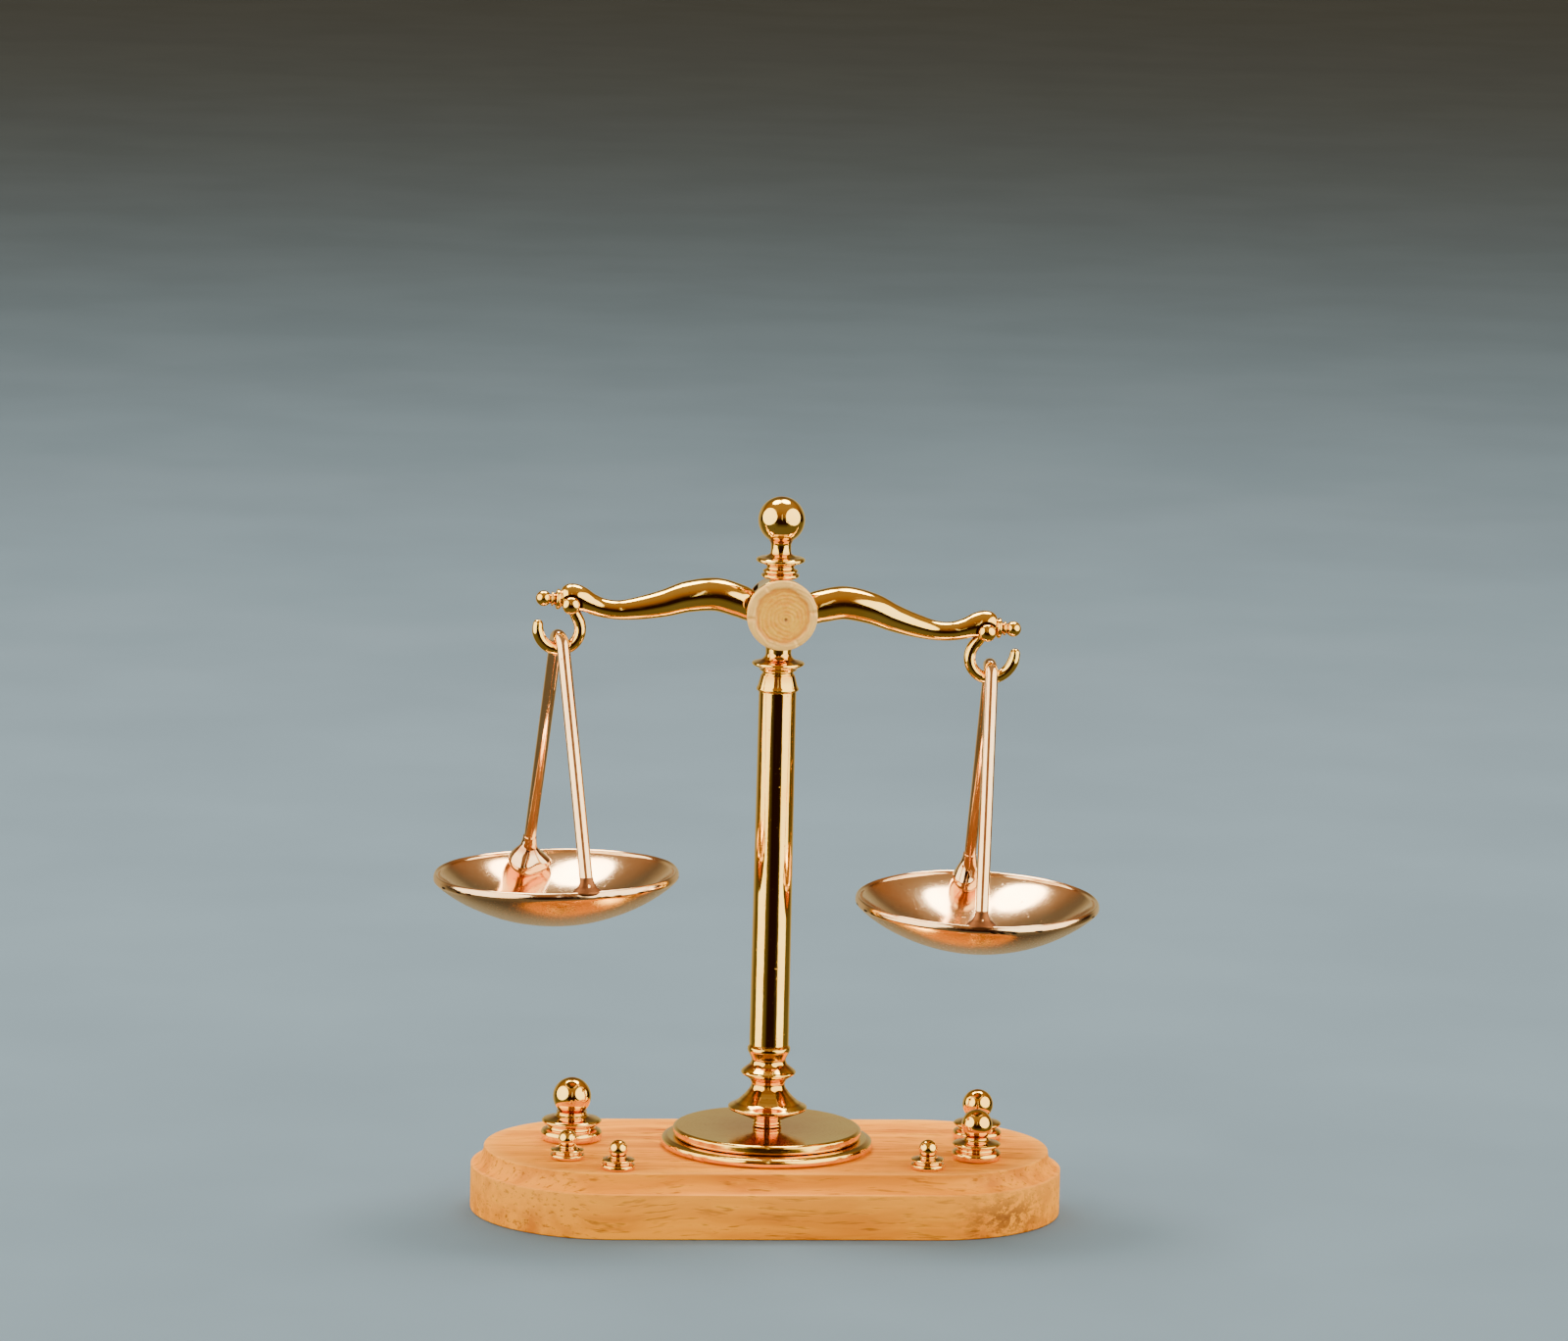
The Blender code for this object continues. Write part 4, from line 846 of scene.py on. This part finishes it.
# %% Tips and eye pins
TIP_START, TIP_DROP = 0.78, 0.24
PIN_HEAD, PIN_RADIUS, HEAD_OUT = 0.74, 0.28, 0.92
tip_line = np.concatenate([
    arc((0.0, 1.50), 0.66, 86.0, -46.0, 24),
    soften([(0.40, 0.98), (0.42, 0.90), (0.60, 0.84), (0.62, 0.72), (0.44, 0.64), (0.52, 0.56),
            (0.84, 0.42), (0.88, 0.28), (0.78, 0.10), (0.55, -0.10), (0.50, -0.25), (0.05, -0.25)],
           [0.05, 0.05, 0.05, 0.05, 0.05, 0.08, 0.08, 0.08, 0.10, 0.08])])
pin_line = np.concatenate([
    arc((0.0, 0.0), PIN_HEAD, 86.0, 4.0, 20) * np.array([1.0, 0.72]),
    soften([(PIN_HEAD, -0.02), (PIN_HEAD - 0.08, -0.10), (PIN_RADIUS, -0.12), (PIN_RADIUS, -2.08),
            (PIN_RADIUS - 0.08, -2.14), (0.03, -2.14)], 0.04)])
for side, sign in (("left", -1.0), ("right", 1.0)):
    tip_place = pivot + level_to_rest @ np.array([sign * (EYE_X + TIP_START), 0.0, -TIP_DROP])
    tip_rows = placed(turned(tip_line, 96), tip_place, level_to_rest @ about("Y", sign * 90.0))
    build(f"tip_turning_{side}", tip_rows, "gold small", "balance_beam", f"beam_tip_{side}")
for side, eye in eyes.items():
    pin_rows = placed(turned(pin_line, 64), eye - (0.0, HEAD_OUT, 0.0), lying)
    build(f"eye_pin_bead_{side}", pin_rows, "gold small", "balance_beam", f"eye_pin_{side}")

# %% [markdown]
# ## The hooks
#
# A hook is a C of wire whose flat eye sits in the beam's slot. In its own flat drawing the eye is
# the origin, the C's centre lies half a millimetre outboard and 2.2 below it, and the wire leaves the
# eye on a line that touches the C. Points are complex numbers here, because then the hook's lean
# is one multiplication, found from where the two joints lie. The two were bent by hand, so the
# right one runs a little further round and opens wider.

# %% Hooks
HOOK_RADIUS, HOOK_WIRE = 1.75, 0.5
HOOK_CENTRE = complex(0.5, -2.2)
HOOK_END = {"left": 0.0, "right": 12.0}
HOOK_OPENING = {"left": 0.1, "right": 0.45}
pan_hinge = {side: np.array(JOINTS[f"{side}_pan_rock"]["pos_m"]) / MM for side in eyes}


def hook_line(side):
    """The eye, the straight shank, and the C round its centre, with the half sizes of the wire:
    wide and flat at the eye, round along the shank, and a little thinner at the open end."""
    toward_eye = math.atan2(-HOOK_CENTRE.imag, -HOOK_CENTRE.real)
    touch = toward_eye + math.acos(HOOK_RADIUS / abs(HOOK_CENTRE))
    angle = np.linspace(touch, 2 * math.pi + math.radians(HOOK_END[side]), 60)
    share_open = np.clip((angle - 1.62 * math.pi) / (0.5 * math.pi), 0.0, 1.0)
    bend = HOOK_CENTRE + (HOOK_RADIUS + HOOK_OPENING[side] * share_open ** 2) * np.exp(1j * angle)
    shank = bend[0] * np.array([-0.10, 0.0, 0.12, 0.26, 0.42, 0.60, 0.80])
    across = np.concatenate([[0.56, 0.62, 0.60, 0.52, 0.47, 0.48, 0.49], np.full(60, HOOK_WIRE)])
    wide = np.concatenate([[0.36, 0.40, 0.40, 0.41, 0.45, 0.48, 0.49], np.full(60, HOOK_WIRE)])
    taper = np.concatenate([np.ones(61), np.linspace(1.0, 0.86, 6)])
    return np.concatenate([shank, bend]), np.stack([across * taper, wide * taper], axis=1)


for side, sign in (("left", -1.0), ("right", 1.0)):
    eye = eyes[side]
    flat_line, across = hook_line(side)
    centre = pan_hinge[side] + np.array([0.0, 0.0, HOOK_RADIUS]) - eye
    lean = complex(sign * centre[0], centre[2]) / HOOK_CENTRE
    flat_line = flat_line * lean / abs(lean)
    path = eye + np.stack([sign * flat_line.real, np.zeros(len(flat_line)), flat_line.imag], axis=1)
    pin_hole = turned([(PIN_RADIUS + 0.08, 1.0), (PIN_RADIUS + 0.08, -1.0)], 48)
    build(f"wire_hook_{side}", swept(path, across, (0.0, 1.0, 0.0), 40), "gold small", f"{side}_hook",
          f"hook_{side}", cuts=[placed(pin_hole, eye, lying)])
    print(side, "hook leans", round(math.degrees(np.angle(lean)), 1), "degrees")

# %% [markdown]
# ## The pans
#
# A pan is a shallow bowl, a slice of a sphere, whose edge is rolled into a bead. Inside and outside
# are two slices, half a millimetre apart at the middle. Pressed sheet is never perfectly round, so
# the whole pan is warped by a few hundredths of a millimetre. Nobody sees that in the outline, but
# every reflection in the bowl bends with it, and that is what makes the metal look thin.

# %% Pans
PAN_RADIUS, PAN_DEPTH, PAN_WALL, ROLL = 10.3, 4.0, 0.5, 0.5
HANG = 19.25
BAIL_LEAN = {"left": -0.45, "right": 1.5}
BAIL_YAW = {"left": 13.2, "right": -3.0}
PAN_ROLL = {"left": -1.8, "right": 0.5}
PAN_PITCH = {"left": 0.0, "right": 2.5}
WARP_PHASE = {"left": 0.8, "right": 2.3}


def bowl(r, edge, depth, height, fullness):
    """Distance and height over a bowl: height - depth (1 - (r / edge) squared) ** fullness. A
    fullness of 1 is a plain dish, and less than 1 turns the wall up steeply at the edge."""
    rise = np.maximum(1.0 - (r / edge) ** 2, 0.0) ** fullness
    return np.stack([r, height - depth * rise], axis=1)


inside = np.concatenate([np.linspace(0.05, 8.4, 34), np.linspace(8.6, 9.80, 12)])
outside = np.concatenate([PAN_RADIUS - 0.9 * np.linspace(0.12, 1.0, 14) ** 2, np.linspace(9.2, 0.05, 36)])
lip = flowing([(9.80, 0.19), (9.90, 0.36), (10.06, 0.46), (10.20, 0.38), (10.28, 0.20), (10.30, 0.0)], 5)
pan_line = np.concatenate([bowl(inside, 9.90, PAN_DEPTH - PAN_WALL + 0.3, 0.3, 0.90), lip[1:],
                           bowl(outside, PAN_RADIUS, PAN_DEPTH - 0.1, -0.1, 0.86)])
outer_rows = np.clip((np.arange(len(pan_line)) - len(inside) - len(lip)) / 6.0, 0.0, 1.0)
pan_centre, pan_turn = {}, {}
for side, phase in WARP_PHASE.items():
    pan_centre[side] = pan_hinge[side] + about("Y", BAIL_LEAN[side]) @ np.array([0.0, 0.0, -HANG])
    pan_turn[side] = about("X", PAN_PITCH[side]) @ about("Y", PAN_ROLL[side]) @ about("Z", BAIL_YAW[side])
    rows = turned(pan_line, 192)
    angle = np.arctan2(rows[..., 1], rows[..., 0])
    distance = np.hypot(rows[..., 0], rows[..., 1]) / PAN_RADIUS
    rows[..., 2] += distance ** 2 * (0.035 * np.sin(3 * angle + phase) + 0.018 * np.sin(5 * angle + 2 * phase)
                                     + 0.006 * np.sin(17 * angle + phase))
    rows[..., 2] += 0.012 * np.sin(distance * 14.0 + 2.0 * np.sin(angle + phase)) * (1.0 - distance) ** 0.5
    pan = build(f"bowl_{side}", placed(rows, pan_centre[side], pan_turn[side]), "rose pan",
                f"{side}_pan", f"pan_{side}")
    # The outside rows get the metal's painted shade for the underside.
    store(pan, "shaded_underside", np.append(np.repeat(outer_rows, rows.shape[1]), [0.0, 1.0]))

# %% [markdown]
# ## The bails
#
# A bail is one wire bent over the hook: a small arch round the hook's lowest wire, and a straight
# leg down to the pan at the front and another at the rear. A leg is straight because it touches
# the arch's circle, so where it leaves the arch follows from where its foot is.

# %% Bails
BAIL_WIRE = 0.56
ARCH = HOOK_WIRE + BAIL_WIRE + 0.08
FOOT_SINK = 0.35
REAR_THINNING = 0.06
FRONT_INSET = 0.75
REAR_INSET = {"left": 2.2, "right": 1.8}
REAR_SINK = {"left": 0.9, "right": 0.45}
SHIFT = {"left": -0.2, "right": -0.3}


def foot_spot(side, end):
    """Where a leg's wire ends over the pan, for the front (-1) or the rear (+1)."""
    inset = FRONT_INSET if end < 0 else REAR_INSET[side]
    height = ROLL + 0.15 - (0.0 if end < 0 else REAR_SINK[side])
    return pan_centre[side] + pan_turn[side] @ np.array([SHIFT[side], end * (PAN_RADIUS - inset), height])


leg_way = {}
for side in pan_hinge:
    bail_turn = about("Y", BAIL_LEAN[side]) @ about("Z", BAIL_YAW[side])
    feet, leave = {}, {}
    for end in (-1, 1):
        _, out, up = feet[end] = bail_turn.T @ (foot_spot(side, end) - pan_hinge[side])
        leave[end] = math.pi - math.atan2(abs(out), -up) - math.acos(ARCH / math.hypot(out, up))
    bow = arc((0.0, 0.0), ARCH, 90.0 + math.degrees(leave[-1]), 90.0 - math.degrees(leave[1]), 40)
    bow = np.insert(bow, 0, 0.0, axis=1)
    share = np.linspace(0.0, 1.0, 14)[:-1, None]
    front_leg = feet[-1] + (bow[0] - feet[-1]) * share
    rear_leg = bow[-1] + (feet[1] - bow[-1]) * (share + 1.0 / 13.0)
    front_leg[0] -= (bow[0] - feet[-1]) / np.linalg.norm(bow[0] - feet[-1]) * FOOT_SINK
    path = np.concatenate([front_leg, bow, rear_leg])
    path[:, 0] += 0.05 * np.sin(np.linspace(0.0, 3.0 * math.pi, len(path)))
    past_bow = np.maximum(np.arange(len(path)) - len(front_leg) - len(bow), 0) / (len(rear_leg) - 1)
    across = np.repeat((BAIL_WIRE - REAR_THINNING * past_bow)[:, None], 2, axis=1)
    rows = placed(swept(path, across, (1.0, 0.0, 0.0), 36), pan_hinge[side], bail_turn)
    build(f"bail_wire_{side}", rows, "rose wire", f"{side}_pan", f"bail_{side}")
    leg_way[side] = bail_turn @ (bow[-1] - feet[1]) / np.linalg.norm(bow[-1] - feet[1])

# %% [markdown]
# ## The solder
#
# The feet are held by solder. At the rear it ran into a heavy drop, pear-shaped and a little
# lopsided, and it freezes with a few soft lumps. At the front there was room for only a thin
# fillet that climbs the wire and spreads along the bead. Both are turned shapes whose radius
# swells and shrinks round the axis by slow waves.

# %% Solder drops
LOBE = {"left": 0.30, "right": 0.12}
GIRTH = {"left": 1.12, "right": 0.92}
DROP_RAISE = {"left": 0.25, "right": 0.15}


def on_axis(direction):
    """A rotation that carries +Z on to a direction."""
    return np.array(Vector((0.0, 0.0, 1.0)).rotation_difference(Vector(direction)).to_matrix())


for side in pan_hinge:
    girth = GIRTH[side]
    line = flowing([(BAIL_WIRE + 0.02, 2.3), (BAIL_WIRE + 0.08, 1.8), (0.78, 1.25), (1.18 * girth, 0.55),
                    (1.45 * girth, -0.05), (1.30 * girth, -0.60), (0.95 * girth, -1.05), (0.50, -1.38),
                    (0.06, -1.48)], 8)
    rows = turned(counted_from(DROP_RAISE[side], line), 96)
    angle = np.arctan2(rows[..., 1], rows[..., 0])
    low_down = np.clip((1.2 - rows[..., 2]) / 1.2, 0.0, 1.0)
    lumps = LOBE[side] * np.maximum(np.cos(angle - 0.4), 0.0) ** 2 + 0.06 * np.sin(3 * angle + 1.0)
    swell = 1.0 + low_down * lumps + 0.03 * np.sin(2 * angle + 1.6 * rows[..., 2])
    rows[..., :2] *= swell[..., None]
    build(f"solder_drop_{side}", placed(rows, foot_spot(side, 1), on_axis(leg_way[side])), "rose wire",
          f"{side}_pan", f"rear_lug_{side}")

    rows = turned(flowing([(BAIL_WIRE - 0.04, 0.95), (BAIL_WIRE + 0.05, 0.60), (0.80, 0.24), (1.16, -0.04),
                           (1.36, -0.24), (1.20, -0.50), (0.5, -0.68), (0.05, -0.72)], 8), 96)
    rows[..., 1] *= 0.62
    rows[..., 2] -= 0.055 * rows[..., 0] ** 2
    build(f"solder_fillet_{side}", placed(rows, foot_spot(side, -1), pan_turn[side]), "flux stain",
          f"{side}_pan", f"front_lug_{side}")

# %% [markdown]
# ## The weights
#
# Six weights stand on the board: a ball on a short neck, over two flanges with a groove between
# them. One drawing serves all three sizes. It is written as shares of the height and of the
# flange's radius, and each weight takes both from the box of its own node.

# %% Weights
WEIGHT_BALLS = {"large": 1.62, "medium_front": 1.3, "medium_rear": 1.3,
                "small_left": 0.78, "small_middle": 0.78, "small_right": 0.78}


def weight_line(height, ball, flange):
    """A ball that meets a hollowed neck, a wide flange, a groove, and the standing flange."""
    below = np.array([(0.50, 0.455), (0.48, 0.42), (0.56, 0.375), (0.92, 0.335), (0.985, 0.305),
                      (0.93, 0.268), (0.79, 0.240), (0.77, 0.212), (0.79, 0.186), (0.95, 0.160),
                      (1.0, 0.120), (1.0, 0.045), (0.955, 0.0), (0.02, 0.0)]) * (flange, height)
    cuts = np.array([0.03, 0.03, 0.05] + [0.02] * 7 + [0.03, 0.03]) * height
    return np.concatenate([arc((0.0, height - ball), ball, 88.0, -52.0, 40), soften(below, cuts)])


for name, ball in WEIGHT_BALLS.items():
    low, high, middle = seat(f"weight_{name}")
    line = weight_line(high[2] - low[2], ball, (high[0] - low[0]) / 2)
    rows = placed(turned(line, 96), (middle[0], middle[1], low[2]))
    build(f"turned_weight_{name}", rows, "gold upright", f"loose_weight_{name}", f"weight_{name}")

# %% [markdown]
# ## Under the board
#
# The column is held from below by a threaded rod with a washer and a nut, in a counterbore that
# lets the board stand flat. A nut is a hexagon whose corners a cone has cut back, which is simply
# the smaller of two radii at each height.

# %% Washer, nut and rod
def wound(radius, angle, height):
    """Rows from a radius at each height and angle: x = r cos a, y = r sin a."""
    return np.stack(np.broadcast_arrays(radius * np.cos(angle), radius * np.sin(angle), height), axis=-1)


low, high, _ = seat("base_washer")
washer_line = [(BORE_RADIUS, high[2]), (high[0], high[2]), (high[0], low[2]), (BORE_RADIUS, low[2])]
build("flat_washer", turned(soften(washer_line, 0.06), 96), "steel", "stand", "base_washer", ring=True)

low, high, _ = seat("base_nut")
nut_flat = (high[1] - low[1]) / 2 * math.cos(math.radians(30.0))
height = np.concatenate([np.linspace(high[2], high[2] - 0.25, 8), np.linspace(low[2] + 0.25, low[2], 8)])[:, None]
angle = np.linspace(0.0, 2.0 * math.pi, 144, endpoint=False)[None]
hexagon = nut_flat / np.cos((angle + math.pi / 6) % (math.pi / 3) - math.pi / 6)
cone = nut_flat - 0.04 + 1.6 * np.minimum(high[2] - height, height - low[2])
outer = wound(np.minimum(hexagon, cone), angle, height)
bore = turned([(BORE_RADIUS, low[2]), (BORE_RADIUS, high[2])], 144)
build("hex_nut", np.concatenate([outer, bore]), "steel", "stand", "base_nut", ring=True)

low, high, _ = seat("tie_rod")
THREAD_PITCH, THREAD_DEPTH, THREAD_LENGTH = 0.25, 0.07, 2.4
thread_end = low[2] + THREAD_LENGTH
height = np.append(np.linspace(low[2], thread_end, 120), [thread_end + 0.05, high[2]])[:, None]
angle = np.linspace(0.0, 2.0 * math.pi, 48, endpoint=False)[None]
turn_share = (height / THREAD_PITCH - angle / (2.0 * math.pi)) % 1.0
ridge = THREAD_DEPTH * 2.0 * np.abs(turn_share - 0.5) * (height < thread_end)
build("threaded_rod", wound(high[0] - ridge, angle, height), "steel", "stand", "tie_rod")

pin = frame["nodes"]["pivot_pin"]
pin.data.materials.clear()
pin.data.materials.append(FINISHES["steel"])
print("pivot_pin keeps its own shape, in steel")

# %% [markdown]
# ## Floor, light and surroundings
#
# Polished brass shows the room and not itself. Two large soft lights stand to the left and right,
# two smaller ones hang high behind, and the room in front stays dark. So every ball gets two bright
# windows with deep brown between them, and every upright two bright streaks round a dark core. A
# faint strip between the windows draws one thin line down that core.
#
# Behind and below, a pale room turns the metal's shaded sides olive. The floor catches shadows but
# is left out of reflections, where the lower half of the room stands in for it. The camera itself
# always sees one plain pale tone.

# %% Floor
FLOOR, FLOOR_LEVEL = 4.0, -0.00002
tree, shader, place = start_finish("pale floor")
cloth = window(noise(place, 30.0, 3.0), 0.35, 0.65)
fill(shader.inputs, {"Base Color": mixed(cloth, (0.115, 0.168, 0.225), (0.125, 0.182, 0.243)),
                           "Roughness": 0.95, "Specular IOR Level": 0.1})
floor_mesh = bpy.data.meshes.new("floor")
floor_mesh.from_pydata([(x * FLOOR, y * FLOOR, FLOOR_LEVEL) for x, y in ((-1, -1), (1, -1), (1, 1), (-1, 1))],
                       [], [(0, 1, 2, 3)])
floor = bpy.data.objects.new("floor", floor_mesh)
floor.data.materials.append(FINISHES["pale floor"])
bpy.context.scene.collection.objects.link(floor)
floor.visible_glossy = False
print("floor laid at", FLOOR_LEVEL / MM, "mm")


# %% Lights
def soft_light(name, azimuth, elevation, distance, size, watts, colour):
    """An oval of light that faces the middle of the object. Azimuth 0 is in front."""
    a, e = math.radians(azimuth), math.radians(elevation)
    way = Vector((math.sin(a) * math.cos(e), -math.cos(a) * math.cos(e), math.sin(e)))
    data = bpy.data.lights.new(name, "AREA")
    data.shape = "ELLIPSE"
    data.size, data.size_y = size
    data.energy = watts
    data.color = colour
    made = bpy.data.objects.new(name, data)
    made.location = Vector((0.0, 0.0, 0.035)) + way * distance
    made.rotation_mode = "QUATERNION"
    made.rotation_quaternion = (-way).to_track_quat("-Z", "Y")
    made.visible_camera = False
    bpy.context.scene.collection.objects.link(made)
    print("light:", name, watts, "W")


WINDOW_SIZE, WINDOW_TONE = (1.08, 0.84), (1.0, 0.94, 0.74)
LAMP_SIZE, LAMP_TONE = (0.28, 0.28), (1.0, 0.95, 0.82)
soft_light("left window", -73.0, 17.0, 0.60, WINDOW_SIZE, 9.6, WINDOW_TONE)
soft_light("right window", 60.0, 17.0, 0.60, WINDOW_SIZE, 9.6, WINDOW_TONE)
soft_light("overhead left", 214.0, 66.0, 0.60, LAMP_SIZE, 3.8, LAMP_TONE)
soft_light("overhead right", 146.0, 66.0, 0.60, LAMP_SIZE, 3.8, LAMP_TONE)
soft_light("gap between the windows", -3.0, 20.0, 0.80, (0.022, 0.45), 0.07, (1.0, 0.95, 0.86))

# %% Surroundings
world = bpy.data.worlds.new("room")
bpy.context.scene.world = world
world.use_nodes = True
room = world.node_tree
room.nodes.clear()
toward_eye = room.nodes.new("ShaderNodeNewGeometry").outputs["Incoming"]
x, y, z = node(room, "ShaderNodeSeparateXYZ", {"Vector": toward_eye}).outputs
aside = window(maths("ABSOLUTE", x), 0.35, 0.60)
low_side = times(aside, window(z, 0.10, 0.20))
tone = mixed(window(z, -0.12, -0.52), (0.020, 0.006, 0.003), (0.34, 0.145, 0.050))
tone = mixed(low_side, tone, (0.17, 0.15, 0.085))
tone = mixed(window(z, 0.22, 0.55), tone, (0.17, 0.15, 0.10))
tone = mixed(window(z, -0.45, -0.90), tone, (0.46, 0.30, 0.16))
backdrop = mixed(window(z, -0.20, -0.42), (0.58, 0.51, 0.31), (0.17, 0.14, 0.09))
tone = mixed(window(y, -0.55, -0.80), tone, backdrop)
seen = node(room, "ShaderNodeLightPath").outputs["Is Camera Ray"]
tone = mixed(seen, tone, (0.28, 0.34, 0.38))
light = node(room, "ShaderNodeBackground", {"Color": tone, "Strength": 1.0})
node(room, "ShaderNodeOutputWorld", {"Surface": light.outputs["Background"]})
print("room:", len(room.nodes), "nodes")
